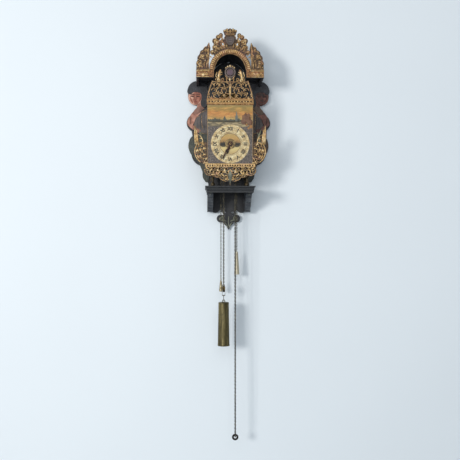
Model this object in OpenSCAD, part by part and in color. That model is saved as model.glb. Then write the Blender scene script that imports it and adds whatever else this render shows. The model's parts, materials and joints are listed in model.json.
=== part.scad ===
// Chair clock: a painted wall bracket with a hood, and a posted movement that stands on its seat.
// Millimetres. +Z is up, +X is to the right of someone who faces the clock, +Y goes into the wall.
// The origin is the centre of the hanging hole, on the plane of the wall.

/* [Wall bracket] */
// Thickness of the backboard
board_t = 14; // [10:1:20]
// Width of the backboard at its elbows
board_w = 299; // [294:1:306]
// Radius of the hanging hole
hook_r = 5; // [3:0.5:7]
// Thickness of the iron hanging plate
hanger_t = 2.5; // [1.5:0.5:4]
// Drop from the hanging hole to the top of the seat
seat_drop = 458; // [450:1:475]
// Width of the seat board
seat_w = 152; // [146:1:160]
// Distance from the wall to the seat's front edge
seat_d = 176; // [172:1:190]
// Thickness of the seat board
seat_t = 14; // [10:1:18]
// Height of the cornice round the seat
cornice_h = 22; // [16:1:28]
// How far the cornice stands out
cornice_out = 8; // [4:1:12]
// Thickness of each cheek under the seat
cheek_t = 20; // [14:1:24]
// Height of each cheek under the seat board
cheek_h = 69; // [60:1:80]
// How far each cheek reaches forward
cheek_d = 128; // [100:1:140]

/* [Hood] */
// Width of the hood
hood_w = 228; // [220:1:240]
// Distance from the wall to the hood's front
hood_d = 160; // [150:1:168]
// Drop from the hanging hole to the hood's lower edge
hood_drop = 93; // [88:1:98]
// Height of the straight part of the hood's front
hood_h = 25; // [22:1:32]
// Radius of the arched opening
arch_r = 54; // [48:1:56]
// Width of the arch round the opening
arch_w = 16; // [12:1:20]
// Thickness of the hood's boards
hood_t = 8; // [6:1:10]
// Thickness of the gilt mouldings
moulding_t = 4; // [2:0.5:5]

/* [Movement frame] */
// Height of the turned feet
foot_h = 53; // [48:1:58]
// Width of the base and top plates
frame_w = 142; // [138:1:150]
// Thickness of the base and top plates
frame_t = 3; // [2:0.5:4]
// Height of the posts between the plates
post_h = 202; // [200:1:212]
// Width of the square blocks at the ends of each post
post_block = 12; // [10:1:13]
// Radius of the turned part of each post
post_r = 4.5; // [3.5:0.5:5.5]
// Width of the upright bars
bar_w = 16; // [14:1:20]
// Thickness of the upright bars
bar_t = 4; // [4:0.5:5]
// Depth of each train's bay
bay_d = 41; // [41:1:44]
// Thickness of the side doors
door_t = 1.5; // [1:0.25:2]

/* [Dial and hands] */
// Distance from the wall to the back of the dial plate
dial_out = 162; // [162:1:168]
// Width of the dial plate
dial_w = 154; // [150:1:160]
// Height of the dial plate
dial_h = 198; // [194:1:202]
// Thickness of the dial plate
dial_t = 2; // [1.5:0.5:2]
// Height of the hands' centre above the base plate
dial_rise = 86; // [84:1:88]
// Length of the minute hand
minute_l = 56; // [48:1:60]
// Length of the hour hand
hour_l = 35; // [28:1:42]
// Thickness of each hand
hand_t = 1.2; // [0.8:0.2:1.4]
// Radius of the alarm disc
disc_r = 17; // [13:1:22]

/* [Wheels] */
// Teeth of the going train's great wheel
great_n = 60; // [58:1:62]
// Module of the great wheel
great_m = 1.1; // [1.06:0.01:1.12]
// Module of the second wheel
second_m = 0.9; // [0.88:0.01:0.92]
// Module of the contrate wheel
contrate_m = 0.85; // [0.83:0.01:0.87]
// Module of the motion work
motion_m = 1; // [0.98:0.01:1.01]
// Radius of the crown wheel
crown_r = 17; // [15:0.5:18]
// Height of the crown wheel's teeth
crown_h = 5; // [3:0.5:6]
// Thickness of the train wheels
wheel_t = 2; // [1.5:0.25:2.5]
// Radius of the train arbors
arbor_r = 2; // [1.5:0.25:2.25]
// Radius of the pivots
pivot_r = 1; // [0.7:0.1:1.2]
// Length of the pivots
pivot_l = 1.7; // [1.2:0.1:1.8]
// Play of a pivot in its hole
pivot_gap = 0.05; // [0.03:0.01:0.09]

/* [Pendulum] */
// Length from the suspension to the middle of the bob
pendulum_l = 196; // [180:1:198]
// Radius of the bob
bob_r = 19; // [15:1:22]
// Thickness of the bob
bob_t = 10; // [7:1:11]
// Radius of the pendulum rod
rod_r = 1.2; // [0.9:0.1:1.4]

/* [Bell] */
// Radius of the bell's rim
bell_r = 45; // [42:1:45]
// Height of the bell
bell_h = 46; // [40:1:50]
// Thickness of the bell
bell_t = 2; // [1.5:0.25:3]

/* [Chains and weights] */
// Spikes on each chain wheel, one to every second link
spikes = 10; // [9:1:11]
// Pitch of the main chain
link_p = 6.28; // [6.1:0.02:6.4]
// Width of a chain link
link_w = 4.8; // [4.4:0.1:5]
// Thickness of the chain wire
wire_t = 1.3; // [1.1:0.1:1.4]
// Depth of the main weight's hook below the hanging hole
weight_drop = 833; // [780:1:900]
// Length of the main weight
weight_l = 150; // [120:1:170]
// Radius of the main weight at the bottom
weight_r = 21; // [18:0.5:23]
// Radius of the pulley at the groove
groove_r = 9; // [8:0.5:10]
// Depth of the chain ring below the hanging hole
ring_drop = 1320; // [1200:1:1400]
// Mean radius of the chain ring
ring_r = 7.9; // [7:0.1:9]
// Radius of the chain ring's own section
ring_wire = 3.4; // [2.8:0.1:3.6]
// Depth of the top of the alarm weight
alarm_drop = 679; // [620:1:740]
// Length of the alarm weight
alarm_l = 83; // [60:1:100]
// Radius of the alarm weight at the bottom
alarm_r = 9.25; // [7:0.25:10]
// Depth of the top of the alarm's counterweight
counter_drop = 781; // [720:1:840]
// Length of the alarm's counterweight
counter_l = 41; // [30:1:50]
// Radius of the counterweight at the bottom
counter_r = 6.5; // [5:0.25:7.5]
// Radius at which the alarm chain runs
alarm_wheel_r = 28; // [26:0.5:29]

/* [Hidden] */
$fn = 48;

// Colours
blackened = "#2b2c30";
oak_dark = "#3a3338";
gilt = "#b8935a";
brass = "#a5854a";
steel = "#6f7072";
iron = "#4a4a4c";
cream = "#cbbd8d";

// Clearances
fit = 0.3;
run_gap = 0.05;
end_shake = 0.2;
eps = 0.01;

// Heights
seat_z = -seat_drop;
base_z = seat_z + foot_h;
base_top = base_z + frame_t;
top_z = base_top + post_h;
top_top = top_z + frame_t;
dial_z = base_top + dial_rise;
hood_z = -hood_drop;
spring_z = hood_z + hood_h + 2;
hood_top = spring_z + arch_r + arch_w;

// Depths, from the wall towards the viewer
board_y = -board_t;
dial_y = -dial_out;
dial_front = dial_y - dial_t;
motion_gap = 10;
frame_front = dial_y + 4;
function bar_front(i) = dial_y + motion_gap + i * (bar_t + bay_d);
function bar_back(i) = bar_front(i) + bar_t;
top_rear = bar_back(2) + 10;
alarm_gap = 17;
alarm_y = bar_back(2) + alarm_gap;
base_rear = alarm_y + 4;
post_x = frame_w / 2 - 13;
post_front_y = frame_front + 2 + post_block / 2;
post_rear_y = top_rear - post_block / 2;

// Motion work: the hands turn round a post on the front bar
motion_n = 36;
report_n = 6;
hour_n = 72;
motion_c = motion_m * motion_n;
hour_m = 2 * motion_c / (report_n + hour_n);
centre_r = 2;
cannon_r = 3.1;
hour_pipe_r = 4.3;
alarm_pipe_r = 5.6;
alarm_disc_y = dial_front - 1;
hour_hand_y = alarm_disc_y - 2.5;
minute_hand_y = hour_hand_y - hand_t - 1.8;
post_end_y = minute_hand_y - hand_t - 2.5;
rest_minutes = 34.5;
rest_hour = 6;
minute_a = 90 - rest_minutes * 6;
hour_a = 90 - (rest_hour + rest_minutes / 60) * 30;

// Trains: heights of the arbors, all on the centre line
leaf_n = 8;
main_z = dial_z - motion_c;
second_z = main_z + great_m * (great_n + leaf_n) / 2;
second_n = 48;
contrate_z = second_z + second_m * (second_n + leaf_n) / 2;
contrate_n = 48;
contrate_r = contrate_m * contrate_n / 2;
strike_n = 78;
strike_m = 0.85;
pin_z = main_z + strike_m * (strike_n + leaf_n) / 2;
third_z = pin_z + second_m * (second_n + leaf_n) / 2;
third_n = 40;
third_m = 0.8;
fly_z = third_z + third_m * (third_n + leaf_n) / 2;
main_arbor_r = 4;

// Escapement
verge_z = top_z - 7;
verge_r = 1.4;
crown_tip_z = verge_z - 5;
crown_y = bar_front(1) - 19.5;
crown_pinion_z = contrate_z + contrate_r;
suspension_z = top_z - 0.5;
pendulum_y = alarm_y + 9;
crutch_y = alarm_y;

// Chains
chain_r = spikes * 2 * link_p / (2 * PI);
going_y = bar_front(1) - 15.3;
strike_y = bar_front(2) - 16;
alarm_chain_y = bar_back(2) + 10.5;
mid_y = (going_y + strike_y) / 2;
link_play = 0.2;
link_l = link_p + 2 * wire_t + link_play;
bight_r = groove_r + link_w / 2 + 0.25;
pulley_z = -weight_drop + 27;
ring_z = -ring_drop;
ring_bight_r = ring_wire + link_w / 2 + 0.4;

// Striking
pins = 8;
pin_circle = 15;
hammer_x = 34;
hammer_z = main_z + 46;
alarm_hammer_x = -44;
alarm_hammer_z = main_z + 34;
bell_z = top_z + 30;
bell_y = (bar_front(1) + bar_back(2)) / 2 - 9.5;

// Puts a drawing of the front view upright, from y_back forward by t
module slab(y_back, t) {
  translate([0, y_back, 0])
    rotate([90, 0, 0])
      linear_extrude(t)
        children();
}

// A round bar that runs from y_back forward to y_front
module rod_y(y_back, y_front, r, x = 0, z = 0) {
  translate([x, y_back, z])
    rotate([90, 0, 0])
      cylinder(r = r, h = y_back - y_front);
}

module both_sides() {
  children();
  mirror([1, 0, 0])
    children();
}

// Part of a flat ring, from angle a0 to a1
module band(r, w, a0, a1) {
  intersection() {
    difference() {
      circle(r);
      circle(r - w);
    }
    polygon(concat([[0, 0]], [for (i = [0:5]) let(a = a0 + (a1 - a0) * i / 5) 1.6 * r * [cos(a), sin(a)]]));
  }
}

// A curl that ends in a ball
module curl(r, w, a0, a1) {
  band(r, w, a0, a1);
  translate((r - w / 2) * [cos(a1), sin(a1)])
    circle(w);
}

// A pointed leaf along +X
module leaf(l, w) {
  r = (l * l / 4 + w * w / 4) / w;
  translate([l / 2, 0])
    intersection() {
      translate([0, r - w / 2])
        circle(r);
      translate([0, w / 2 - r])
        circle(r);
    }
}

// Phase of a wheel b that meshes with wheel a, seen from the front; toward is the angle from a to b
function mate(toward, phase_a, na, nb) = toward + 180 - (phase_a - toward) * na / nb + 180 / nb;

// A toothed disc; root and tip are half widths as shares of the pitch
module teeth(n, m, phase, root = 0.25, tip = 0.1) {
  step = 360 / n;
  r_root = n * m / 2 - 1.15 * m;
  r_tip = n * m / 2 + 0.9 * m;
  corners = [[-root, r_root], [-tip, r_tip], [tip, r_tip], [root, r_root]];
  polygon([for (i = [0:n - 1]) for (c = corners) let(a = phase + (i + c[0]) * step) c[1] * [cos(a), sin(a)]]);
}

module leaves(n, m, phase) {
  teeth(n, m, phase, 0.19, 0.12);
}

// A crossed-out wheel: rim, spokes and hub
module wheel(n, m, phase, hub, rim = 3, spokes = 4) {
  inner = n * m / 2 - 1.15 * m - rim;
  difference() {
    teeth(n, m, phase);
    difference() {
      circle(inner);
      circle(hub);
      for (i = [0:spokes - 1])
        rotate(i * 360 / spokes)
          translate([0, -1.5])
            square([inner + 1, 3]);
    }
  }
}

// An arbor with its pivots, between bar i and the next one back
module arbor(i, z, r = arbor_r) {
  rod_y(bar_front(i + 1) - end_shake, bar_back(i) + end_shake, r, 0, z);
  rod_y(bar_front(i + 1) + pivot_l, bar_back(i) - pivot_l, pivot_r, 0, z);
}

module pivot_hole(y_back, y_front, z, x = 0, r = pivot_r) {
  rod_y(y_back, y_front, r + pivot_gap, x, z);
}

// Wall bracket

// One half of the board: lobes for head, elbow, tail and foot of a bearer on each side
module board_half() {
  wide = board_w / 299;
  tall = seat_drop / 458;
  brow = [110, -109, 35];
  chin = [113, -127, 31.5];
  elbow = [119, -222, 30.5];
  hip = [93, -304, 49.5];
  tail = [90, -333, 42];
  foot = [62, -404, 31];
  for (lobe = [brow, chin, elbow, hip, tail, foot])
    translate([lobe[0] * wide, lobe[1] * tall])
      circle(lobe[2] * wide);
  polygon([for (p = [[-5, -440], [72, -438], [82, -424], [87, -388], [118, -350], [131, -253],
    [130, -197], [111, -170], [100, -88], [-5, -88]]) [p[0] * wide, p[1] * tall]]);
  translate([-5, seat_z])
    square([seat_w / 2 + 1, 80]);
  translate([-5, hood_z - 2])
    square([hood_w / 2 - hood_t - fit + 5, hood_h - hood_t + 2]);
}

// The narrow foot of the board, with its hanging drop
module board_foot_half() {
  low = seat_z - seat_t - cheek_h;
  translate([-5, low + 14])
    square([seat_w / 2 - cheek_t - fit + 5, seat_t + cheek_h - 13]);
  translate([47, low + 15])
    circle(17.5);
  polygon([[-5, low - 14], [16, low - 10], [22, low - 2], [34, low + 16], [-5, low + 16]]);
  translate([28, low - 23])
    circle(14);
  translate([0, low - 22])
    circle(20);
  polygon([[-5, low - 54], [0, low - 63], [7, low - 50], [14, low - 44], [23, low - 32], [-5, low - 20]]);
}

module backboard() {
  color(oak_dark)
    difference() {
      slab(0, board_t)
        difference() {
          union() {
            both_sides()
              board_half();
            both_sides()
              board_foot_half();
            translate([0, spring_z])
              circle(arch_r + arch_w - hood_t - fit);
            circle(24);
          }
          for (side = [-1, 1])
            translate([side * 14.4, seat_z - seat_t - cheek_h])
              circle(4.7);
        }
      translate([-17 - fit, -hanger_t, -32 - fit])
        cube([34 + 2 * fit, hanger_t + eps, 54 + 2 * fit]);
      rod_y(1, -board_t - 1, hook_r + 4);
      for (z = nail_z)
        rod_y(0, -board_t + 2, nail_r, 0, z);
    }
}

nail_z = [-26, 16];
nail_r = 1.2;

// The iron plate let into the back, with its two nails
module hanging_plate() {
  color(iron) {
    difference() {
      slab(0, hanger_t)
        translate([-17, -32])
          square([34, 54]);
      rod_y(1, -hanger_t - 1, hook_r);
    }
    for (z = nail_z)
      rod_y(-hanger_t, -board_t + 2, nail_r, 0, z);
  }
}

// Slots that let the chains and the pendulum's bob hang free
slot_x = (chain_r + alarm_wheel_r) / 2;
slot_w = alarm_wheel_r - chain_r + 2 * link_w + 4;
slot_back = alarm_chain_y + 8;
slot_front = going_y - 9;

module chain_slots() {
  for (side = [-1, 1])
    translate([side * slot_x - slot_w / 2, slot_front])
      square([slot_w, slot_back - slot_front]);
}

module seat_board() {
  color(blackened)
    translate([0, 0, seat_z - seat_t])
      linear_extrude(seat_t)
        difference() {
          translate([-seat_w / 2, -seat_d])
            square([seat_w, seat_d - board_t]);
          chain_slots();
        }
}

// The cornice's section: a fillet, a hollow, a bead
module cornice_section() {
  polygon([[0, -cornice_h], [2, -cornice_h], [2, -cornice_h + 5], [cornice_out * 0.45, -cornice_h + 9],
    [cornice_out * 0.6, -6], [cornice_out, -4], [cornice_out, 0], [0, 0]]);
}

module cornice_run(length) {
  rotate([90, 0, 90])
    linear_extrude(length)
      cornice_section();
}

module seat_moulding() {
  half = seat_w / 2;
  over = cornice_out + 1;
  color(blackened)
    translate([0, 0, seat_z]) {
      intersection() {
        translate([-half - over, -seat_d, 0])
          mirror([0, 1, 0])
            cornice_run(seat_w + 2 * over);
        translate([0, 0, -cornice_h - 1])
          linear_extrude(cornice_h + 2)
            polygon([[-half, -seat_d], [half, -seat_d], [half + over, -seat_d - over],
              [-half - over, -seat_d - over]]);
      }
      both_sides()
        intersection() {
          translate([half, -seat_d - over, 0])
            rotate([90, 0, 0])
              mirror([0, 0, 1])
                linear_extrude(seat_d + over - board_t)
                  cornice_section();
          translate([0, 0, -cornice_h - 1])
            linear_extrude(cornice_h + 2)
              polygon([[half, -seat_d], [half + over, -seat_d - over],
                [half + over, -board_t], [half, -board_t]]);
        }
    }
}

// A cheek's side view: forward is +X here, and the front edge steps down in lobes
module cheek_side() {
  d = cheek_d;
  h = cheek_h;
  difference() {
    union() {
      polygon([[board_t, 0], [d, 0], [d, -10], [d - 8, -16], [d * 0.66, -h * 0.5], [d * 0.42, -h * 0.78],
        [d * 0.3, -h + 6], [board_t, -h + 6]]);
      translate([d * 0.72, -h * 0.34])
        circle(h * 0.2);
      translate([d * 0.5, -h * 0.58])
        circle(h * 0.19);
      translate([d * 0.27, -h + 11])
        circle(11);
      translate([board_t, -h])
        square([d * 0.27 - board_t, 12]);
    }
    translate([d - 9, -h * 0.42])
      circle(h * 0.13);
  }
}

module seat_cheeks() {
  color(blackened)
    both_sides()
      translate([seat_w / 2 - cheek_t, 0, seat_z - seat_t])
        rotate([90, 0, 90])
          linear_extrude(cheek_t)
            mirror([1, 0])
              cheek_side();
}

// Hood

hood_y = -hood_d;

module hood_front() {
  color(oak_dark)
    slab(hood_y + hood_t, hood_t)
      difference() {
        union() {
          translate([-hood_w / 2, hood_z])
            square([hood_w, hood_h]);
          translate([0, spring_z])
            circle(arch_r + arch_w);
        }
        translate([0, spring_z])
          circle(arch_r);
        translate([-arch_r, hood_z - 60])
          square([2 * arch_r, spring_z - hood_z + 60]);
        translate([-arch_r - arch_w - 1, hood_z - 60])
          square([2 * (arch_r + arch_w + 1), 60]);
      }
}

// Flat boards at each side and a barrel over the arch
module hood_roof() {
  r = arch_r + arch_w;
  low = hood_z + hood_h - hood_t;
  color(oak_dark)
    slab(board_y, hood_d - hood_t - board_t)
      difference() {
        union() {
          translate([0, spring_z])
            circle(r);
          translate([-hood_w / 2, low - 2])
            square([hood_w, hood_t + 2]);
        }
        translate([0, spring_z])
          circle(r - hood_t);
        translate([-hood_w, low - 2 * r])
          square([2 * hood_w, 2 * r]);
      }
}

// Side walls with an ogee at the back
module hood_sides() {
  depth = hood_d - hood_t - board_t;
  high = hood_h - hood_t;
  color(oak_dark)
    both_sides()
      translate([hood_w / 2 - hood_t, 0, hood_z])
        rotate([90, 0, 90])
          linear_extrude(hood_t)
            difference() {
              translate([hood_y + hood_t, 0])
                square([depth, high]);
              translate([board_y - depth / 2, -depth / 2 + 5])
                circle(depth / 2, $fn = 96);
            }
}

// Gilt mouldings: a stepped band round the arch and a strip at each side of it
module hood_moulding() {
  color(gilt)
    for (step = [0, 1])
      slab(hood_y - step * moulding_t / 2, moulding_t / 2) {
        translate([0, spring_z])
          band(arch_r + arch_w - 1 - 4 * step, arch_w - 2 - 8 * step, 0, 180);
        both_sides() {
          translate([arch_r + 1 + 4 * step, hood_z + 1])
            square([arch_w - 2 - 8 * step, spring_z - hood_z - 1]);
          translate([arch_r + arch_w - 2, hood_z + 2 + 3 * step])
            square([hood_w / 2 - arch_r - arch_w + 2 - 2 * step, hood_h - 4 - 6 * step]);
        }
      }
}

// Crest: a crowned shield between two leafy scrolls
module crest_half() {
  polygon([[0, -3], [16, -5], [34, -12], [52, -26], [60, -10], [52, 10], [30, 30], [0, 30]]);
  for (ball = [[31, 44, 7], [40, 37, 8], [52, 25, 8], [44, 16, 12], [52, 3, 8], [60, -13, 7]])
    translate([ball[0], ball[1]])
      circle(ball[2]);
  polygon([[0, 6], [14, 10], [20, 24], [20, 37], [13, 43], [20, 48], [21, 56], [0, 56]]);
  for (ball = [[10, 61, 5.5], [18, 58, 5]])
    translate([ball[0], ball[1]])
      circle(ball[2]);
}

module hood_crest() {
  color(gilt)
    translate([0, 0, hood_top + 2]) {
      slab(hood_y + hood_t, hood_t)
        difference() {
          union() {
            both_sides()
              crest_half();
            translate([0, 61])
              circle(6);
          }
          for (side = [-1, 1]) {
            translate([side * 24, 14])
              square([5, 11], center = true);
            translate([side * 44, 20])
              circle(3);
          }
          translate([0, spring_z - hood_top - 2])
            circle(arch_r + arch_w + run_gap);
        }
      slab(hood_y, 2.5) {
        translate([0, 25])
          difference() {
            circle(15);
            circle(11);
          }
        translate([-17, 46])
          square([34, 4]);
        both_sides() {
          translate([44, 20])
            curl(10, 3, -60, 200);
          translate([36, 6])
            rotate(20)
              leaf(20, 7);
          translate([28, 38])
            rotate(10)
              leaf(16, 7);
        }
      }
    }
}

// A carved wing at each side of the arch, rising to a pointed leaf
module wing() {
  difference() {
    union() {
      polygon([[70, -74], [114, -74], [112, -48], [104, -22], [92, -6], [80, 4], [71, 20], [66, 0],
        [68, -18], [72, -40]]);
      for (ball = [[100, -52, 14], [97, -34, 13], [90, -18, 12], [82, -6, 9]])
        translate([ball[0], ball[1]])
          circle(ball[2]);
    }
    translate([100, -50])
      circle(4);
    translate([92, -29])
      circle(3);
  }
}

module hood_wings() {
  shift = [hood_w / 2 - 114, hood_z + hood_h + 74];
  color(gilt)
    both_sides() {
      slab(hood_y + hood_t, hood_t)
        translate(shift)
          wing();
      slab(hood_y, 2.5)
        translate(shift) {
          translate([100, -50])
            curl(10, 3, -120, 150);
          translate([92, -29])
            curl(9, 3, -120, 150);
          translate([76, -66])
            rotate(86)
              leaf(58, 8);
          translate([74, -14])
            rotate(95)
              leaf(30, 8);
        }
    }
}

// Movement frame

module frame_plate(z, rear) {
  translate([0, 0, z])
    linear_extrude(frame_t)
      difference() {
        translate([-frame_w / 2, frame_front])
          square([frame_w, rear - frame_front]);
        for (x = [-post_x, post_x])
          for (y = [post_front_y, post_rear_y])
            translate([x, y])
              circle(3 + run_gap);
        for (i = [0:2])
          translate([-bar_w / 4 - run_gap, bar_front(i) - run_gap])
            square([bar_w / 2 + 2 * run_gap, bar_t + 2 * run_gap]);
        for (x = [-door_x, door_x])
          translate([x, door_hinge_y])
            circle(door_pin_r + pivot_gap);
        children();
      }
}

module base_plate() {
  color(iron)
    frame_plate(base_z, base_rear)
      for (side = [-1, 1]) {
        translate([side * chain_r - 5, going_y - 5])
          square([10, strike_y - going_y + 10]);
        translate([side * alarm_wheel_r - 5, alarm_chain_y - 5])
          square([10, 10]);
      }
}

hammer_slot = [hammer_x + 3, strike_y - 5, 28, 10];

module top_plate() {
  color(iron)
    frame_plate(top_z, top_rear)
      translate([hammer_slot[0], hammer_slot[1]])
        square([hammer_slot[2], hammer_slot[3]]);
}

module at_posts() {
  for (x = [-post_x, post_x])
    for (y = [post_front_y, post_rear_y])
      translate([x, y, 0])
        children();
}

module corner_posts() {
  low = 30;
  high = 22;
  mid = post_h - low - high;
  color(brass)
    at_posts()
      translate([0, 0, base_top]) {
        translate([-post_block / 2, -post_block / 2, 0])
          cube([post_block, post_block, low]);
        translate([-post_block / 2, -post_block / 2, post_h - high])
          cube([post_block, post_block, high]);
        translate([0, 0, -frame_t - 5])
          cylinder(r = 3, h = post_h + 2 * frame_t + 10);
        translate([0, 0, low])
          rotate_extrude()
            polygon([[0, 0], [post_r + 1, 0], [post_r + 1, 3], [post_r - 1, 7], [post_r, mid * 0.3],
              [post_r - 0.5, mid * 0.46], [post_r + 1.2, mid * 0.48], [post_r + 1.2, mid * 0.52],
              [post_r - 0.5, mid * 0.54], [post_r, mid * 0.7], [post_r - 1, mid - 7],
              [post_r + 1, mid - 3], [post_r + 1, mid], [0, mid]]);
      }
}

// Turned feet and finials screw on to the posts and clamp the plates
module feet_and_finials() {
  h = foot_h;
  color(brass)
    at_posts() {
      translate([0, 0, seat_z])
        difference() {
          rotate_extrude()
            polygon([[0, 0], [6, 0], [7.5, 4], [7.5, 9], [4, 14], [3.6, h * 0.45], [6.4, h * 0.62],
              [6.4, h * 0.74], [4.5, h * 0.82], [7, h - 4], [7, h], [0, h]]);
          translate([0, 0, h - 6])
            cylinder(r = 3 + run_gap, h = 7);
        }
      translate([0, 0, top_top])
        difference() {
          rotate_extrude()
            polygon([[0, 0], [5, 0], [5, 2], [3.8, 7], [4, 9], [5, 13], [4.6, 17], [2, 20], [1.5, 23],
              [2.4, 26], [1.6, 29], [0, 31]]);
          translate([0, 0, -1])
            cylinder(r = 3 + run_gap, h = 7);
        }
    }
}

// Outline of an upright bar with its tenons; ears carry the hammer arbors
module bar_outline(ears = []) {
  tenon = bar_w / 2;
  translate([-bar_w / 2, base_top])
    square([bar_w, post_h]);
  translate([-tenon / 2, base_z])
    square([tenon, post_h + 2 * frame_t + 6]);
  for (e = ears) {
    translate([min(0, e[0]), e[1] - 4])
      square([abs(e[0]), 8]);
    translate([e[0], e[1]])
      circle(6);
  }
}

// A small wedge through the tenon keeps each bar tight on the top plate
module bar_wedge(i) {
  translate([-9, bar_front(i) + bar_t / 2 - 0.9, top_top + 0.4])
    cube([18, 1.8, 3]);
}

module wedge_hole(i) {
  translate([-9, bar_front(i) + bar_t / 2 - 1, top_top])
    cube([18, 2, 3.6]);
}

module front_bar() {
  i = 0;
  color(iron) {
    difference() {
      slab(bar_back(i), bar_t)
        bar_outline();
      wedge_hole(i);
      rod_y(bar_back(i) + 1, bar_front(i) - 1, drive_r + pivot_gap, 0, main_z);
      for (z = [second_z, contrate_z, verge_z])
        pivot_hole(bar_back(i) + 1, bar_back(i) - pivot_l - end_shake, z);
    }
    rod_y(bar_front(i) + 1, post_end_y, centre_r, 0, dial_z);
    bar_wedge(i);
  }
}

module inner_bars() {
  right = [hammer_x, hammer_z];
  left = [alarm_hammer_x, alarm_hammer_z];
  shallow = pivot_l + end_shake;
  color(iron) {
    difference() {
      slab(bar_back(1), bar_t)
        bar_outline([right]);
      wedge_hole(1);
      rod_y(bar_back(1) + 1, bar_front(1) - 1, verge_r + 1, 0, verge_z);
      for (z = [main_z, second_z, contrate_z])
        pivot_hole(bar_front(1) + shallow, bar_front(1) - 1, z);
      for (z = [main_z, pin_z, third_z, fly_z])
        pivot_hole(bar_back(1) + 1, bar_back(1) - shallow, z);
      pivot_hole(bar_back(1) + 1, bar_back(1) - shallow, hammer_z, hammer_x);
    }
    difference() {
      slab(bar_back(2), bar_t)
        bar_outline([right, left]);
      wedge_hole(2);
      rod_y(bar_back(2) + 1, bar_front(2) - 1, verge_r + 1, 0, verge_z);
      rod_y(bar_back(2) + 1, bar_front(2) - 1, drive_r + pivot_gap, 0, main_z);
      for (z = [pin_z, third_z, fly_z])
        pivot_hole(bar_front(2) + shallow, bar_front(2) - 1, z);
      pivot_hole(bar_front(2) + shallow, bar_front(2) - 1, hammer_z, hammer_x);
      pivot_hole(bar_back(2) + 1, bar_back(2) - shallow, alarm_hammer_z, alarm_hammer_x);
    }
    bar_wedge(1);
    bar_wedge(2);
  }
}

// A door at each side, on pins in the two plates
door_pin_r = 1.2;
door_hinge_y = post_rear_y;
door_x = frame_w / 2 - 3;

module door() {
  gap = 1;
  z0 = base_top + gap;
  h = post_h - 2 * gap;
  front = post_front_y - 5;
  color(cream) {
    difference() {
      translate([door_x - door_t / 2, front, z0])
        cube([door_t, door_hinge_y - front, h]);
      translate([door_x - door_t, front + 10, z0 + 12])
        cube([2 * door_t, 3, 14]);
    }
    translate([door_x, door_hinge_y, z0])
      cylinder(r = 2, h = h);
    translate([door_x, door_hinge_y, z0 - gap - frame_t + 0.6])
      cylinder(r = door_pin_r, h = h + 2 * gap + 2 * frame_t - 1.2);
    translate([door_x + door_t / 2 - eps, front + 6, dial_z])
      rotate([0, 90, 0])
        rotate_extrude()
          polygon([[0, 0], [1.2, 0], [1.2, 1.5], [2, 2.4], [1.4, 3.4], [0, 3.6]]);
  }
}

module right_door() {
  door();
}

module left_door() {
  mirror([1, 0, 0])
    door();
}

// Dial and frets

module dial_plate() {
  color(cream) {
    slab(dial_y, dial_t)
      difference() {
        translate([-dial_w / 2, dial_bottom])
          square([dial_w, dial_h]);
        translate([0, dial_z])
          circle(alarm_pipe_r + 0.1);
      }
    for (x = [-post_x, post_x])
      for (z = [base_top + 24, top_z - 11])
        rod_y(post_front_y - post_block / 2, dial_y - eps, 2.2, x, z);
  }
}

dial_bottom = dial_z - 67;
fret_t = 2.5;
fret_y = dial_front + fret_t;

// A rampant beast of plain leaf shapes, 42 high, facing +X
module beast() {
  translate([2, 36])
    circle(4.5);
  translate([-1, 30])
    circle(5.5);
  translate([-4, 8])
    rotate(80)
      leaf(26, 12);
  translate([-4, 0])
    rotate(75)
      leaf(16, 6);
  translate([4, 0])
    rotate(110)
      leaf(16, 6);
  translate([-1, 28])
    rotate(15)
      leaf(11, 4);
  translate([-1, 21])
    rotate(20)
      leaf(11, 4);
  translate([-8, 22])
    curl(7, 2.4, 250, 90);
}

// Centres and turns of the small open scrolls under the ledge
fret_scrolls = [[12, 29, 200], [29, 29, 20], [46, 29, 250], [63, 29, 110], [20.5, 46.5, 300],
  [37.5, 46.5, 150], [54.5, 46.5, 0], [12, 64, 90], [29, 64, 220], [46, 64, 330]];
scroll_r = 10;
scroll_w = 2.8;

// Crest fret: frieze, scrollwork under a ledge, and a crowned shield between two beasts
module crest_fret_half() {
  spread = dial_w / 154;
  square([78.5 * spread, 20]);
  polygon([for (p = [[78.5, 18], [78.5, 27], [75, 44], [69, 62], [63, 74], [62, 80], [56, 80], [57, 72],
    [63, 59], [69, 42], [71, 18]]) [p[0] * spread, p[1]]]);
  translate([0, 73])
    square([61 * spread, 5]);
  for (c = fret_scrolls)
    translate([c[0] * spread, c[1]]) {
      curl(scroll_r, scroll_w, c[2], c[2] + 290);
      rotate(c[2] + 150)
        leaf(scroll_r - 1, 4);
    }
  translate([0, 18])
    rotate(90)
      leaf(60, 11);
  translate([50, 62])
    rotate(40)
      leaf(18, 5);
  translate([0, 108])
    circle(19);
  polygon([[-2, 75], [8, 88], [17, 98], [-2, 104]]);
  for (ball = [[0, 129, 5], [8, 127, 4], [14, 123, 3.5]])
    translate([ball[0], ball[1]])
      circle(ball[2]);
  translate([35, 77])
    mirror([1, 0])
      beast();
}

// Two flat lugs behind a fret, held by rivets
module fret_lugs(x, z0, z1, back) {
  for (side = [-1, 1]) {
    translate([side * x - 4, dial_y, z0])
      cube([8, back - dial_y, z1 - z0]);
  }
}

module crest_fret() {
  z0 = dial_bottom + dial_h + 1.5;
  color(gilt) {
    slab(fret_y, fret_t)
      translate([0, z0])
        difference() {
          both_sides()
            crest_fret_half();
          for (i = [-7:7])
            translate([i * 10, 10])
              circle(2.6);
          for (a = [0:90:270])
            translate([0, 108])
              rotate(a)
                band(14.5, 2.4, 10, 80);
        }
    fret_lugs(46, top_z - 2, z0 + 14, frame_front);
  }
}

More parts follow.
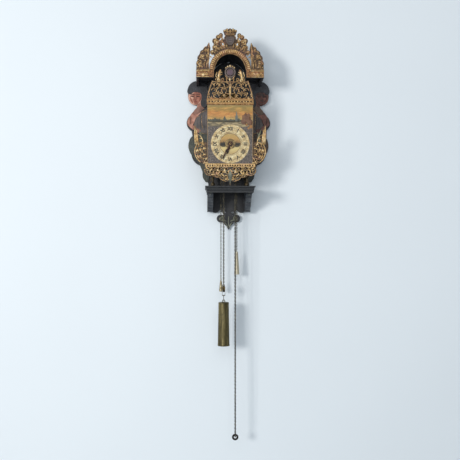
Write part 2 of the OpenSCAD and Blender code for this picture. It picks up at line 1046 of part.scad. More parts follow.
// Side fret: a full leaf shape beside the dial that runs up into two strands
module side_fret_outline() {
  x0 = dial_w / 2 + 3;
  intersection() {
    translate([x0, dial_z - 26])
      circle(42);
    translate([x0 - 1, dial_z - 68])
      square([60, 74]);
  }
  translate([x0 + 37, dial_z - 2])
    rotate(89)
      leaf(66, 10);
  translate([x0 + 27, dial_z])
    rotate(82)
      leaf(50, 9);
  translate([x0 + 19, dial_z + 11])
    curl(9, 3, 60, 300);
}

// Centres and radii of the side fret's holes, from its inner edge and the hands' centre
side_holes = [[10, -3, 3.6], [20, -3, 3.6], [30, -5, 3], [5, -13, 3], [14, -13, 3.8], [24, -14, 3.8],
  [34, -15, 3], [9, -23, 3.6], [19, -24, 3.8], [29, -25, 3.8], [37, -27, 2.4], [5, -33, 3],
  [14, -34, 3.6], [24, -35, 3.8], [33, -36, 3], [10, -44, 3.4], [19, -45, 3.6], [28, -46, 2.8],
  [5, -53, 3], [14, -55, 3.2], [8, -61, 2.2]];

module side_frets() {
  x0 = dial_w / 2 + 3;
  color(gilt)
    both_sides() {
      slab(fret_y, fret_t)
        difference() {
          intersection() {
            side_fret_outline();
            translate([dial_w / 2 + fit, dial_z - 100])
              square(200);
          }
          for (h = side_holes)
            translate([x0 + h[0], dial_z + h[1]])
              circle(h[2]);
        }
      for (z = [dial_z - 47, dial_z - 8])
        translate([x0 - 18, dial_y, z])
          cube([22, 2, 8]);
      for (z = [dial_z - 43, dial_z - 4])
        rod_y(dial_y + 1, fret_y - eps, 1.5, x0 + 2.4, z);
    }
}

// Bottom fret: a band of small arches, then lobes of scrollwork and a long central drop
module bottom_fret_half() {
  translate([0, -11])
    square([84, 11]);
  for (lobe = [[68, -22, 20], [42, -26, 22], [14, -34, 27]])
    translate([lobe[0], lobe[1]])
      circle(lobe[2]);
  polygon([[0, -8], [80, -8], [80, -26], [40, -42], [0, -56]]);
  translate([-4.5, -58])
    square([9, 6]);
}

// Centres and radii of the bottom fret's holes
bottom_holes = [[77, -19, 3.6], [67, -17, 2.8], [72, -29, 3.6], [62, -27, 3.6], [67, -37, 2.4],
  [56, -17, 3], [51, -28, 3.8], [46, -17, 2.8], [40, -27, 3.6], [55, -38, 2.8], [45, -39, 3.6],
  [35, -18, 3.2], [30, -29, 3.8], [35, -42, 3.4], [24, -18, 3], [19, -28, 3.6], [25, -42, 3.8],
  [13, -18, 3], [10, -31, 3], [15, -44, 3.6], [20, -53, 2.4], [9, -54, 2]];

module bottom_fret() {
  z0 = dial_bottom + 1;
  drop_l = z0 - seat_z - 2;
  color(gilt) {
    slab(fret_y - fret_t, 2)
      translate([0, z0])
        difference() {
          union() {
            both_sides()
              bottom_fret_half();
            translate([0, -54])
              rotate(-90)
                leaf(drop_l - 54, 5);
          }
          for (i = [-9:9])
            translate([i * 8.4, -6]) {
              circle(2.2);
              translate([-2.2, -3])
                square([4.4, 3]);
            }
          for (side = [0, 1])
            mirror([side, 0])
              for (h = bottom_holes)
                translate([h[0], h[1]])
                  circle(h[2]);
        }
    fret_lugs(46, z0 - 8, z0 + 10, dial_y + 1.5);
    for (side = [-1, 1])
      rod_y(dial_y + eps, fret_y - fret_t - eps, 1.5, side * 46, z0 - 4);
  }
}

// Hands and motion work

module hand_blade(l, w) {
  circle(w + 2);
  translate([w, -w / 3])
    square([l * 0.35, w / 1.5]);
  translate([l * 0.3, 0])
    leaf(l * 0.34, w * 1.5);
  translate([l * 0.54, 0])
    leaf(l * 0.46, w);
}

module hour_hand() {
  color(iron)
    slab(hour_hand_y, hand_t)
      translate([0, dial_z])
        difference() {
          rotate(hour_a)
            hand_blade(hour_l, 6);
          circle(hour_pipe_r);
        }
}

module hour_wheel() {
  phase = mate(90, report_phase, report_n, hour_n);
  y0 = bar_front(0) - 5;
  color(brass)
    difference() {
      union() {
        slab(y0, wheel_t)
          translate([0, dial_z])
            wheel(hour_n, hour_m, phase, 8, 3, 3);
        rod_y(y0, hour_hand_y - hand_t - 0.3, hour_pipe_r, 0, dial_z);
      }
      rod_y(y0 + 1, hour_hand_y - hand_t - 2, cannon_r + run_gap, 0, dial_z);
    }
}

module minute_hand() {
  color(iron)
    slab(minute_hand_y, hand_t)
      translate([0, dial_z])
        difference() {
          rotate(minute_a)
            hand_blade(minute_l, 5.4);
          circle(cannon_r);
        }
}

module cannon_wheel() {
  y0 = bar_front(0) - 1.5;
  color(brass)
    difference() {
      union() {
        slab(y0, wheel_t)
          translate([0, dial_z])
            wheel(motion_n, motion_m, mate(90, drive_phase, motion_n, motion_n), 7, 2.5, 3);
        rod_y(y0, minute_hand_y - hand_t - 0.3, cannon_r, 0, dial_z);
      }
      rod_y(y0 + 1, minute_hand_y - hand_t - 2, centre_r + run_gap, 0, dial_z);
    }
}

// The wheel on the going arbor's nose that turns the hands, with its pinion for the hour wheel
drive_r = 2.4;
drive_phase = 90;
report_phase = 90;

module drive_wheel() {
  y0 = bar_front(0) - 1.5;
  color(brass)
    difference() {
      union() {
        slab(y0, wheel_t)
          translate([0, main_z])
            wheel(motion_n, motion_m, drive_phase, 5, 2.5, 3);
        slab(y0 - wheel_t - 1, wheel_t + 1)
          translate([0, main_z])
            leaves(report_n, hour_m, report_phase);
        rod_y(y0 - wheel_t / 2, y0 - 3 - wheel_t, 1.9, 0, main_z);
      }
      rod_y(y0 + 1, y0 - 8, nose_r + run_gap, 0, main_z);
    }
}

nose_r = 1.4;

module alarm_disc() {
  color(brass)
    difference() {
      union() {
        slab(alarm_disc_y, 1.5)
          translate([0, dial_z])
            difference() {
              circle(disc_r);
              for (i = [0:11])
                rotate(i * 30)
                  translate([disc_r - 3, 0])
                    circle(0.7);
            }
        rod_y(dial_y + 1, alarm_disc_y, alarm_pipe_r, 0, dial_z);
      }
      rod_y(dial_y + 2, alarm_disc_y - 3, hour_pipe_r + run_gap, 0, dial_z);
    }
}

// Going train

great_phase = 90;

module going_great_wheel() {
  y0 = bar_front(1) - 4;
  color(brass) {
    slab(y0, wheel_t + 0.5)
      translate([0, main_z])
        wheel(great_n, great_m, great_phase, 9, 4, 4);
    rod_y(bar_front(1) - end_shake, going_y - 7, main_arbor_r, 0, main_z);
    rod_y(going_y - 6, bar_back(0) + end_shake, main_arbor_r - 0.5, 0, main_z);
    rod_y(bar_front(1) + pivot_l, bar_front(1) - 1, pivot_r, 0, main_z);
    rod_y(bar_back(0) + 1, bar_front(0) - 1, drive_r, 0, main_z);
    rod_y(bar_front(0), bar_front(0) - 7.5, nose_r, 0, main_z);
    click(y0 - wheel_t - 0.5);
  }
}

// A click on a great wheel, just clear of the ratchet teeth
module click(y0) {
  slab(y0, 2)
    translate([0, main_z])
      difference() {
        union() {
          translate([-6, 24.5])
            circle(3);
          translate([-6, 22.6])
            square([13, 2.6]);
        }
        circle(ratchet_r + 0.5);
      }
}

ratchet_r = 19;

// A chain wheel: two flanges, a ratchet, and spikes that stand in every second link
module chain_wheel(y, ratchet_y) {
  drum_r = chain_r - link_w / 2 - 2;
  half = link_w / 2 + 1.2;
  difference() {
    union() {
      for (s = [-1, 1])
        rod_y(y + s * (half + 0.75) + 0.75, y + s * (half + 0.75) - 0.75, chain_r + 2, 0, main_z);
      rod_y(y + half, y - half, drum_r, 0, main_z);
      for (i = [0:spikes - 1])
        translate([0, y, main_z])
          rotate([0, i * 360 / spikes, 0])
            translate([-0.6, -1, 0])
              cube([1.2, 2, drum_r + 1.6]);
      slab(ratchet_y, 1.6)
        translate([0, main_z])
          polygon([for (i = [0:23]) let(a = (i + (i % 2) * 0.8) * 15, r = ratchet_r - (i % 2) * 2.5)
            r * [cos(a), sin(a)]]);
    }
    rod_y(y + 20, y - 20, main_arbor_r + run_gap, 0, main_z);
  }
}

module going_chain_wheel() {
  color(brass)
    chain_wheel(going_y, going_y + link_w / 2 + 4);
}

second_pinion_phase = mate(90, great_phase, great_n, leaf_n);

module second_wheel() {
  color(brass) {
    arbor(0, second_z);
    slab(bar_front(1) - 2, wheel_t + 5)
      translate([0, second_z])
        leaves(leaf_n, great_m, second_pinion_phase);
    slab(second_y, wheel_t)
      translate([0, second_z])
        wheel(second_n, second_m, second_phase, 5, 2.5, 4);
  }
}

second_y = bar_back(0) + 11;
second_phase = 90;
contrate_pinion_phase = mate(90, second_phase, second_n, leaf_n);

// The contrate wheel's teeth stand forward, and drive the upright crown wheel arbor
module contrate_wheel() {
  web_y = bar_front(1) - 10.5;
  tip_y = crown_y + leaf_n * contrate_m / 2 - 0.9 * contrate_m;
  color(brass) {
    arbor(0, contrate_z);
    slab(second_y + 2.5, wheel_t + 5)
      translate([0, contrate_z])
        leaves(leaf_n, second_m, contrate_pinion_phase);
    slab(web_y, 1.5)
      translate([0, contrate_z])
        difference() {
          circle(contrate_r + 0.8);
          difference() {
            circle(contrate_r - 3.5);
            circle(5);
            for (i = [0:3])
              rotate(i * 90 + 45)
                translate([0, -1.5])
                  square([contrate_r, 3]);
          }
        }
    difference() {
      slab(web_y - 1, web_y - 1 - tip_y)
        translate([0, contrate_z])
          difference() {
            circle(contrate_r + 0.8);
            circle(contrate_r - 0.8);
          }
      for (i = [0:contrate_n - 1])
        translate([0, tip_y - 1, contrate_z])
          rotate([0, (i + 0.5) * 360 / contrate_n, 0])
            translate([-contrate_m * 0.95, 0, contrate_r - 2])
              cube([contrate_m * 1.9, 2.2 * contrate_m + 1, 4]);
    }
  }
}

// The crown wheel: saw teeth that point up at the verge's pallets
module crown_wheel() {
  rim_h = 4;
  teeth_n = 15;
  foot_z = crown_pinion_z - 9;
  color(brass)
    translate([0, crown_y, 0]) {
      difference() {
        translate([0, 0, crown_tip_z - crown_h - rim_h])
          difference() {
            cylinder(r = crown_r + 0.9, h = crown_h + rim_h);
            translate([0, 0, 1.6])
              cylinder(r = crown_r - 0.9, h = crown_h + rim_h);
            difference() {
              translate([0, 0, -1])
                cylinder(r = crown_r - 2.5, h = 4);
              translate([0, 0, -1])
                cylinder(r = 4, h = 4);
              for (a = [0, 90])
                rotate(a)
                  translate([-crown_r, -1.5, -1])
                    cube([2 * crown_r, 3, 4]);
            }
          }
        for (i = [0:teeth_n - 1])
          rotate(i * 360 / teeth_n)
            translate([crown_r - 3, 0, crown_tip_z])
              rotate([90, 0, 90])
                linear_extrude(6)
                  polygon([[0, 1], [3.6, -crown_h], [6.2, -crown_h], [6.8, 1]]);
      }
      translate([0, 0, foot_z + end_shake])
        cylinder(r = arbor_r - 0.4, h = crown_tip_z - 1.2 - foot_z);
      translate([0, 0, foot_z - pivot_l])
        cylinder(r = pivot_r, h = crown_tip_z - foot_z + pivot_l + 1.6);
      translate([0, 0, crown_pinion_z - 4.5])
        linear_extrude(9)
          leaves(leaf_n, contrate_m, crown_phase);
    }
}

crown_phase = 90 + 180 / leaf_n;

// Two cocks hold the crown wheel's arbor: one on the front bar, one under the top plate
module crown_wheel_cocks() {
  foot_z = crown_pinion_z - 9;
  arm_z = crown_tip_z + 0.4;
  color(iron) {
    difference() {
      translate([-5, bar_back(0), foot_z - 4])
        cube([10, crown_y + 5 - bar_back(0), 4]);
      translate([0, crown_y, foot_z - pivot_l - 0.3])
        cylinder(r = pivot_r + pivot_gap, h = pivot_l + 1);
    }
    difference() {
      union() {
        translate([-4, crown_y - 3.5, arm_z])
          cube([30, 7, 2.3]);
        translate([22, crown_y - 3.5, arm_z])
          cube([6, 7, top_z - arm_z]);
      }
      translate([0, crown_y, arm_z - 1])
        cylinder(r = pivot_r + pivot_gap, h = 4);
    }
  }
}

// The verge lies over the crown wheel; its crutch reaches back round the pendulum rod
module verge() {
  flag_l = 4.5;
  crutch_l = 35;
  color(steel) {
    rod_y(crutch_y, bar_back(0) + end_shake, verge_r, 0, verge_z);
    rod_y(crutch_y - 3, bar_back(0) - pivot_l, pivot_r, 0, verge_z);
    for (s = [-1, 1])
      translate([0, crown_y + s * crown_r, verge_z])
        rotate([0, s * 48, 0])
          translate([-0.5, -2, -flag_l])
            cube([1, 4, flag_l]);
    difference() {
      union() {
        rod_y(crutch_y + 1, crutch_y - 2, 4, 0, verge_z);
        translate([-2, crutch_y - 1.5, verge_z - crutch_l])
          cube([4, 2, crutch_l]);
        translate([-4.2, crutch_y - 1.5, verge_z - crutch_l - 4])
          cube([8.4, pendulum_y + 4 - crutch_y + 1.5, 4]);
      }
      translate([-rod_r - 0.5, crutch_y + 2.5, verge_z - crutch_l - 5])
        cube([2 * rod_r + 1, 40, 6]);
    }
  }
}

// The back cock carries the verge's rear pivot and the pendulum's pin
module back_cock() {
  leg_y = crutch_y - 6;
  color(brass)
    difference() {
      union() {
        translate([-8, top_rear - 9, top_top])
          cube([16, pendulum_y + 6 - top_rear + 9, 4]);
        translate([-5, leg_y, verge_z - 5])
          cube([10, 3, top_top - verge_z + 6]);
        for (s = [-1, 1])
          translate([-4, pendulum_y + s * 3 - 1, suspension_z - 3])
            cube([8, 2, top_top - suspension_z + 4]);
        rod_y(pendulum_y + 3, pendulum_y - 3, 1, 0, suspension_z);
      }
      pivot_hole(leg_y + 4, leg_y - 1, verge_z, 0, verge_r);
    }
}

module pendulum_rod() {
  end_z = suspension_z - pendulum_l - bob_r - 9;
  color(steel)
    difference() {
      union() {
        translate([0, pendulum_y, end_z])
          cylinder(r = rod_r, h = suspension_z - end_z - 2);
        rod_y(pendulum_y + 1, pendulum_y - 1, 2.6, 0, suspension_z);
        translate([0, pendulum_y, end_z + 2])
          cylinder(r = 3.5, h = 3);
      }
      rod_y(pendulum_y + 2, pendulum_y - 2, 1 + run_gap, 0, suspension_z);
    }
}

module pendulum_bob() {
  lens = (bob_r * bob_r + bob_t * bob_t / 4) / bob_t;
  color(brass)
    difference() {
      translate([0, pendulum_y, suspension_z - pendulum_l])
        rotate([90, 0, 0])
          intersection() {
            translate([0, 0, lens - bob_t / 2])
              sphere(r = lens, $fn = 96);
            translate([0, 0, bob_t / 2 - lens])
              sphere(r = lens, $fn = 96);
          }
      translate([0, pendulum_y, suspension_z - pendulum_l - bob_r - 1])
        cylinder(r = rod_r + 0.02, h = 2 * bob_r + 2);
    }
}

// Striking train

strike_phase = 90;
pin_pinion_phase = mate(90, strike_phase, strike_n, leaf_n);
pin_phase = 90;
third_pinion_phase = mate(90, pin_phase, second_n, leaf_n);
third_phase = 90;
fly_phase = mate(90, third_phase, third_n, leaf_n);

// One turn strikes all the hours, so the count wheel rides on the same arbor
module strike_great_wheel() {
  y0 = bar_front(2) - 5;
  count_y = bar_back(2) + 3.2;
  count_r = 30;
  color(brass) {
    slab(y0, wheel_t + 0.5)
      translate([0, main_z])
        wheel(strike_n, strike_m, strike_phase, 9, 4, 4);
    rod_y(bar_front(2) - end_shake, strike_y - 7, main_arbor_r, 0, main_z);
    rod_y(strike_y - 6, bar_back(1) + end_shake, main_arbor_r - 0.5, 0, main_z);
    rod_y(bar_back(1) + 1, bar_back(1) - pivot_l, pivot_r, 0, main_z);
    rod_y(count_y + 0.5, bar_front(2) - 1, drive_r, 0, main_z);
    click(y0 - wheel_t - 0.5);
    slab(count_y, 1.6)
      translate([0, main_z])
        difference() {
          circle(count_r);
          for (hour = [1:12])
            rotate(hour * (hour + 1) / 2 * 360 / 78)
              translate([count_r - 3, -0.8])
                square([5, 1.6]);
          for (i = [0:3])
            rotate(i * 90 + 45)
              translate([15, 0])
                circle(7);
        }
  }
}

module strike_chain_wheel() {
  color(brass)
    chain_wheel(strike_y, strike_y + link_w / 2 + 4);
}

module pin_wheel() {
  y0 = bar_back(1) + 9;
  color(brass) {
    arbor(1, pin_z);
    slab(bar_front(2) - 4, wheel_t + 5)
      translate([0, pin_z])
        leaves(leaf_n, strike_m, pin_pinion_phase);
    slab(y0, wheel_t)
      translate([0, pin_z])
        wheel(second_n, second_m, pin_phase, 5, 5, 4);
    for (i = [0:pins - 1])
      translate([0, 0, pin_z])
        rotate([0, (i + 0.5) * 360 / pins, 0])
          rod_y(y0 + 7, y0 - 1, 1, 0, pin_circle);
  }
}

module third_wheel() {
  color(brass) {
    arbor(1, third_z);
    slab(bar_back(1) + 11.5, wheel_t + 5)
      translate([0, third_z])
        leaves(leaf_n, second_m, third_pinion_phase);
    slab(bar_front(2) - 12, wheel_t)
      translate([0, third_z])
        wheel(third_n, third_m, third_phase, 5, 2.5, 3);
  }
}

// The fly's two vanes brake the striking train
module fly() {
  color(steel) {
    arbor(1, fly_z);
    slab(bar_front(2) - 10, wheel_t + 5)
      translate([0, fly_z])
        leaves(leaf_n, third_m, fly_phase);
    slab(bar_back(1) + 23, 10)
      translate([0, fly_z])
        square([29, 1], center = true);
    rod_y(bar_back(1) + 23, bar_back(1) + 13, 3, 0, fly_z);
  }
}

module hammer() {
  y = strike_y;
  tail_y = bar_back(1) + 15;
  head_z = bell_z + 3;
  reach = bell_edge_x(y) + 1.5;
  color(steel) {
    rod_y(bar_front(2) - end_shake, bar_back(1) + end_shake, arbor_r, hammer_x, hammer_z);
    rod_y(bar_front(2) + pivot_l, bar_back(1) - pivot_l, pivot_r, hammer_x, hammer_z);
    rod_y(y + 3, y - 3, 4, hammer_x, hammer_z);
    slab(y + 1.5, 3)
      polygon([[hammer_x - 2, hammer_z], [hammer_x + 2, hammer_z], [reach + 8, top_z - 20],
        [reach + 8, head_z], [reach + 5, head_z], [reach + 5, top_z - 20]]);
    translate([reach, y, head_z])
      rotate([0, 90, 0])
        cylinder(r = 6, h = 12);
    slab(tail_y, 4)
      polygon([[hammer_x, hammer_z - 3], [hammer_x, hammer_z + 3], [pin_circle + 1.6, pin_z + 7],
        [pin_circle + 1.6, pin_z + 4]]);
  }
}

// Half width of the bell at depth y
function bell_edge_x(y) = sqrt(bell_r * bell_r - (y - bell_y) * (y - bell_y));

module bell_side(grow) {
  r = bell_r - grow;
  h = bell_h - grow;
  polygon([[0, -grow * 2], [r, -grow * 2], [r, 1], [r - 3, 5], [r * 0.86, h * 0.4], [r * 0.7, h * 0.72],
    [r * 0.42, h * 0.93], [0, h]]);
}

// The bell on its stand, with a turned nut
module bell() {
  seat = bell_z - 3 + bell_h - bell_t;
  color(brass)
    translate([0, bell_y, bell_z - 3])
      difference() {
        rotate_extrude($fn = 96)
          bell_side(0);
        rotate_extrude($fn = 96)
          bell_side(bell_t);
        translate([0, 0, -1])
          cylinder(r = 2.5 + run_gap, h = bell_h + 2);
      }
  color(iron)
    translate([0, bell_y, 0]) {
      translate([0, 0, top_top])
        cylinder(r = 7, h = 3);
      translate([0, 0, top_top])
        cylinder(r = 4, h = seat - 1 - top_top);
      translate([0, 0, seat - 2])
        cylinder(r = 2.5, h = bell_t + 9);
      translate([0, 0, seat + bell_t + 0.3])
        rotate_extrude()
          polygon([[2.6, 0], [6, 0], [6, 2.5], [3.6, 4], [3.2, 6], [0, 7.5], [0, 5]]);
    }
}

// Alarm, behind the rear bar

module alarm_chain_wheel() {
  y = alarm_chain_y;
  half = link_w / 2 + 0.4;
  stud_r = 2.5;
  color(brass)
    difference() {
      union() {
        rod_y(y + half, y - half, alarm_wheel_r - link_w / 2 - 0.4, 0, main_z);
        rod_y(y - half, y - half - 1, alarm_wheel_r + 2, 0, main_z);
        slab(y + half + 1.4, 1.4)
          translate([0, main_z])
            polygon([for (i = [0:39]) let(a = (i + (i % 2) * 0.7) * 9, r = 31 - (i % 2) * 3)
              r * [cos(a), sin(a)]]);
      }
      rod_y(y + 20, y - 20, stud_r + run_gap, 0, main_z);
      for (i = [0:4])
        translate([0, 0, main_z])
          rotate([0, i * 72, 0])
            rod_y(y + 20, y - 20, 5, 0, 15);
    }
}

module alarm_cock() {
  color(iron) {
    difference() {
      slab(alarm_y + 2, 2)
        union() {
          translate([-7, base_top])
            square([14, main_z - base_top]);
          translate([0, main_z])
            circle(9);
          polygon([[-6, main_z + 6], [2, main_z - 8], [alarm_hammer_x + 2, alarm_hammer_z - 6],
            [alarm_hammer_x - 3, alarm_hammer_z + 5]]);
          translate([alarm_hammer_x, alarm_hammer_z])
            circle(6);
        }
      pivot_hole(alarm_y + 3, alarm_y - 1, alarm_hammer_z, alarm_hammer_x);
    }
    translate([-7, alarm_y - 5, base_top])
      cube([14, 6, 3]);
    rod_y(alarm_y + 0.5, alarm_chain_y - link_w / 2 - 2.4, 2.5, 0, main_z);
  }
}

module alarm_hammer() {
  y = alarm_y - 4.5;
  head_z = bell_z + 3;
  head_y = top_rear - 12;
  reach = bell_edge_x(head_y - 6) + 2.2;
  stem_x = -reach - 5;
  toward = atan2(main_z - alarm_hammer_z, -alarm_hammer_x);
  distance = norm([main_z - alarm_hammer_z, alarm_hammer_x]);
  color(steel) {
    rod_y(alarm_y - end_shake, bar_back(2) + end_shake, arbor_r, alarm_hammer_x, alarm_hammer_z);
    rod_y(alarm_y + 1, bar_back(2) - pivot_l, pivot_r, alarm_hammer_x, alarm_hammer_z);
    slab(y + 1.5, 3)
      polygon([[alarm_hammer_x - 2, alarm_hammer_z], [alarm_hammer_x + 2, alarm_hammer_z],
        [stem_x + 1.6, head_z], [stem_x - 1.6, head_z]]);
    rod_y(y + 1.5, head_y - 6, 5, stem_x, head_z);
    slab(y + 1.5, 3)
      translate([alarm_hammer_x, alarm_hammer_z])
        for (a = [-17, 17])
          rotate(toward + a)
            translate([0, -1.2])
              square([distance - 31.8, 2.4]);
  }
}

// Chains

// One link, long way up, in the plane of X and Z
module link() {
  chamfer = 1.3;
  half_w = link_w / 2;
  half_l = link_l / 2;
  translate([0, wire_t / 2, 0])
    rotate([90, 0, 0])
      linear_extrude(wire_t)
        difference() {
          polygon([[-half_w, chamfer - half_l], [chamfer - half_w, -half_l], [half_w - chamfer, -half_l],
            [half_w, chamfer - half_l], [half_w, half_l - chamfer], [half_w - chamfer, half_l],
            [chamfer - half_w, half_l], [-half_w, half_l - chamfer]]);
          square([link_w - 2 * wire_t, link_l - 2 * wire_t], center = true);
        }
}

// Links in a fall of this length; the last one's centre is hang above its end
function fall_links(run, hang) = round((run - hang) / link_p + 0.5);

// A straight fall from a down to b, which share one x; links are turned a quarter in turn
module fall(a, b, turn = 0, hang = link_p / 2) {
  run = norm(b - a);
  count = fall_links(run, hang);
  step = (run - hang) / (count - 0.5);
  lean = atan2(b[1] - a[1], a[2] - b[2]);
  for (i = [0:count - 1])
    translate(a + (b - a) / run * (i + 0.5) * step)
      rotate([lean, 0, (i + turn) % 2 * 90])
        link();
}

function wrap_links(r, angle) = round(angle * PI * r / 180 / link_p);

// Links round half a circle in the plane of X and Z, from angle a0 on
module wrap(r, a0, turn = 0) {
  count = wrap_links(r, 180);
  for (i = [0:count - 1])
    rotate([0, -(a0 + 180 * (i + 0.5) / count), 0])
      translate([r, 0, 0])
        rotate([0, 0, (i + turn) % 2 * 90])
          link();
}

// The links that lie over the three chain wheels
module chain_wraps() {
  color(brass) {
    for (y = [going_y, strike_y])
      translate([0, y, main_z])
        wrap(chain_r, 0);
    translate([0, alarm_chain_y, main_z])
      wrap(alarm_wheel_r, 0);
  }
}

// Two falls that meet in a bight of radius r at depth z
module hanging_loop(x, r, z, turn) {
  depth = norm([going_y - mid_y + r, main_z - z]);
  count = fall_links(depth, link_p / 2);
  color(brass) {
    for (s = [-1, 1])
      fall([x, mid_y + s * (mid_y - going_y), main_z], [x, mid_y + s * r, z], turn);
    translate([x, mid_y, z])
      rotate([0, 0, 90])
        wrap(r, 180, turn + count + 1);
  }
}

module weight_chain() {
  hanging_loop(-chain_r, bight_r, pulley_z, wrap_links(chain_r, 180));
}

module ring_chain() {
  hanging_loop(chain_r, ring_bight_r, ring_z + ring_r, 1);
}

// An alarm fall, whose last link passes through the eye of what it carries
eye_drop = 1.8;
alarm_hang = link_l / 2;

module alarm_fall(side, drop, turn) {
  color(brass)
    translate([side * alarm_wheel_r, alarm_chain_y, 0])
      fall([0, 0, main_z], [0, 0, eye_drop - drop], turn, alarm_hang);
}

module alarm_weight_chain() {
  alarm_fall(1, alarm_drop, 1);
}

module counterweight_chain() {
  alarm_fall(-1, counter_drop, wrap_links(alarm_wheel_r, 180));
}

module chain_ring() {
  color(iron)
    translate([chain_r, mid_y, ring_z])
      rotate([90, 0, 0])
        rotate_extrude()
          translate([ring_r, 0])
            circle(ring_wire);
}

// Weights

pulley_half = link_w / 2 + 1.4;
axle_r = 1.6;

module pulley() {
  rim = groove_r + 4.2;
  color(brass)
    translate([-chain_r - pulley_half, mid_y, pulley_z])
      rotate([0, 90, 0])
        rotate_extrude()
          polygon([[axle_r + run_gap, 0], [rim, 0], [rim, 0.8], [groove_r, 1.6],
            [groove_r, 2 * pulley_half - 1.6], [rim, 2 * pulley_half - 0.8], [rim, 2 * pulley_half],
            [axle_r + run_gap, 2 * pulley_half]]);
}

fork_l = groove_r + 14;
hook_wire = 1.2;
hook_ring_r = 4.6;
hook_z = pulley_z - fork_l - 15;
weight_eye_r = 4;
weight_eye_z = hook_z - hook_ring_r + 2 * hook_wire + 0.2 - weight_eye_r;

// The pulley's fork and the wire hook below it
module pulley_fork() {
  drop = fork_l;
  gap = pulley_half + fit;
  color(steel)
    translate([-chain_r, mid_y, pulley_z]) {
      for (s = [-1, 1])
        translate([s * (gap + 0.6) - 0.6, -3, -drop])
          cube([1.2, 6, drop + 5]);
      translate([-gap - 1.2, -3, -drop - 3])
        cube([2 * gap + 2.4, 6, 3]);
      translate([-gap - 1.8, 0, 0])
        rotate([0, 90, 0])
          cylinder(r = axle_r, h = 2 * gap + 3.6);
      translate([0, 0, hook_z - pulley_z + hook_ring_r])
        cylinder(r = hook_wire, h = 9);
      translate([0, 0, hook_z - pulley_z])
        rotate([0, 90, 0])
          rotate_extrude()
            translate([hook_ring_r, 0])
              circle(hook_wire);
    }
}

// Tapered case with beads, and an eye that the hook passes through
module main_weight() {
  top_r = weight_r - 2.75;
  top = weight_eye_z - weight_eye_r;
  l = weight_l;
  color(brass)
    translate([-chain_r, mid_y, top]) {
      translate([0, 0, -l])
        rotate_extrude()
          polygon([[0, 0], [weight_r - 1, 0], [weight_r, 1.5], [weight_r, 4], [weight_r - 0.8, 5],
            [top_r - 0.4, l - 5], [top_r + 0.4, l - 4], [top_r, l - 1.5], [top_r - 3, l], [0, l]]);
      translate([0, 0, weight_eye_r])
        rotate([90, 0, 0])
          rotate_extrude()
            translate([weight_eye_r, 0])
              circle(hook_wire);
    }
}

// A tapered weight whose eye lets the last link through; turn is that link's quarter turn
module tapered_weight(l, r, turn) {
  top_r = r * 0.48;
  rotate_extrude()
    polygon([[0, -l], [r - 0.8, -l], [r, -l + 1.5], [r, -l + 3], [top_r, -5], [top_r, -4],
      [1.6, -2], [1.6, -0.6], [0, -0.6]]);
  translate([0, 0, 2.2])
    rotate([90, 0, (turn + 1) % 2 * 90])
      rotate_extrude()
        translate([2.6, 0])
          circle(0.7);
}

function last_turn(drop, turn) = turn + fall_links(main_z + drop - eye_drop, alarm_hang) - 1;

module alarm_weight() {
  color(brass)
    translate([alarm_wheel_r, alarm_chain_y, -alarm_drop])
      tapered_weight(alarm_l, alarm_r, last_turn(alarm_drop, 1));
}

module counterweight() {
  turn = wrap_links(alarm_wheel_r, 180);
  color(brass)
    translate([-alarm_wheel_r, alarm_chain_y, -counter_drop])
      tapered_weight(counter_l, counter_r, last_turn(counter_drop, turn));
}

backboard();
hanging_plate();
seat_board();
seat_moulding();
seat_cheeks();
hood_roof();
hood_front();
hood_sides();
hood_moulding();
hood_crest();
hood_wings();
base_plate();
top_plate();
corner_posts();
feet_and_finials();
front_bar();
inner_bars();
left_door();
right_door();
dial_plate();
crest_fret();
side_frets();
bottom_fret();
hour_hand();
hour_wheel();
minute_hand();
cannon_wheel();
drive_wheel();
alarm_disc();
going_great_wheel();
going_chain_wheel();
second_wheel();
contrate_wheel();
crown_wheel();
crown_wheel_cocks();
verge();
back_cock();
pendulum_rod();
pendulum_bob();
strike_great_wheel();
strike_chain_wheel();
pin_wheel();
third_wheel();
fly();
hammer();
bell();
alarm_chain_wheel();
alarm_hammer();
alarm_cock();
chain_wraps();
weight_chain();
ring_chain();
chain_ring();
pulley();
pulley_fork();
main_weight();
alarm_weight();
alarm_weight_chain();
counterweight();
counterweight_chain();
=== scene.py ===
"""Chair clock: paint, gilding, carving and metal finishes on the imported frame."""
import json
from math import cos, pi, radians, sin, tau
from random import seed, uniform

import bmesh
import bpy
from mathutils import Matrix, Vector


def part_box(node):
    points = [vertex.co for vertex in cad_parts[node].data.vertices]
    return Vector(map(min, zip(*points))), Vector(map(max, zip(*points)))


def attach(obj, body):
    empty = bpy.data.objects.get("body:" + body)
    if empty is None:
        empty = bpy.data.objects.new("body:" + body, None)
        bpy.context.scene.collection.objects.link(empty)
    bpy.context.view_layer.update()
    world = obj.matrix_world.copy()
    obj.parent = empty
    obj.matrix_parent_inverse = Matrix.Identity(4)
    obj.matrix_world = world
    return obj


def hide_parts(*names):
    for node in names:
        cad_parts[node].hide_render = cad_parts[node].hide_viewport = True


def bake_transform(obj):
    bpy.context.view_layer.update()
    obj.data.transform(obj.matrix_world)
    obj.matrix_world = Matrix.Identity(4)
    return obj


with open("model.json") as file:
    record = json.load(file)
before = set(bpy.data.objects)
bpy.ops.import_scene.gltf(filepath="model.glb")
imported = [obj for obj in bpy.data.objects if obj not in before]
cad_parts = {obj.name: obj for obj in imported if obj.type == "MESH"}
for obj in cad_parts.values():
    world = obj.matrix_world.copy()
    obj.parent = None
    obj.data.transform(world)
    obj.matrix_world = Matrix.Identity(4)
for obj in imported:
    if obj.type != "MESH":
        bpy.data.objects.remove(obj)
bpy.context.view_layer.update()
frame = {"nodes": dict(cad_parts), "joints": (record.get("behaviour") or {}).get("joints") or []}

# Millimetres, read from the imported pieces. A FACE is the y of a piece's front.
MM = 0.001
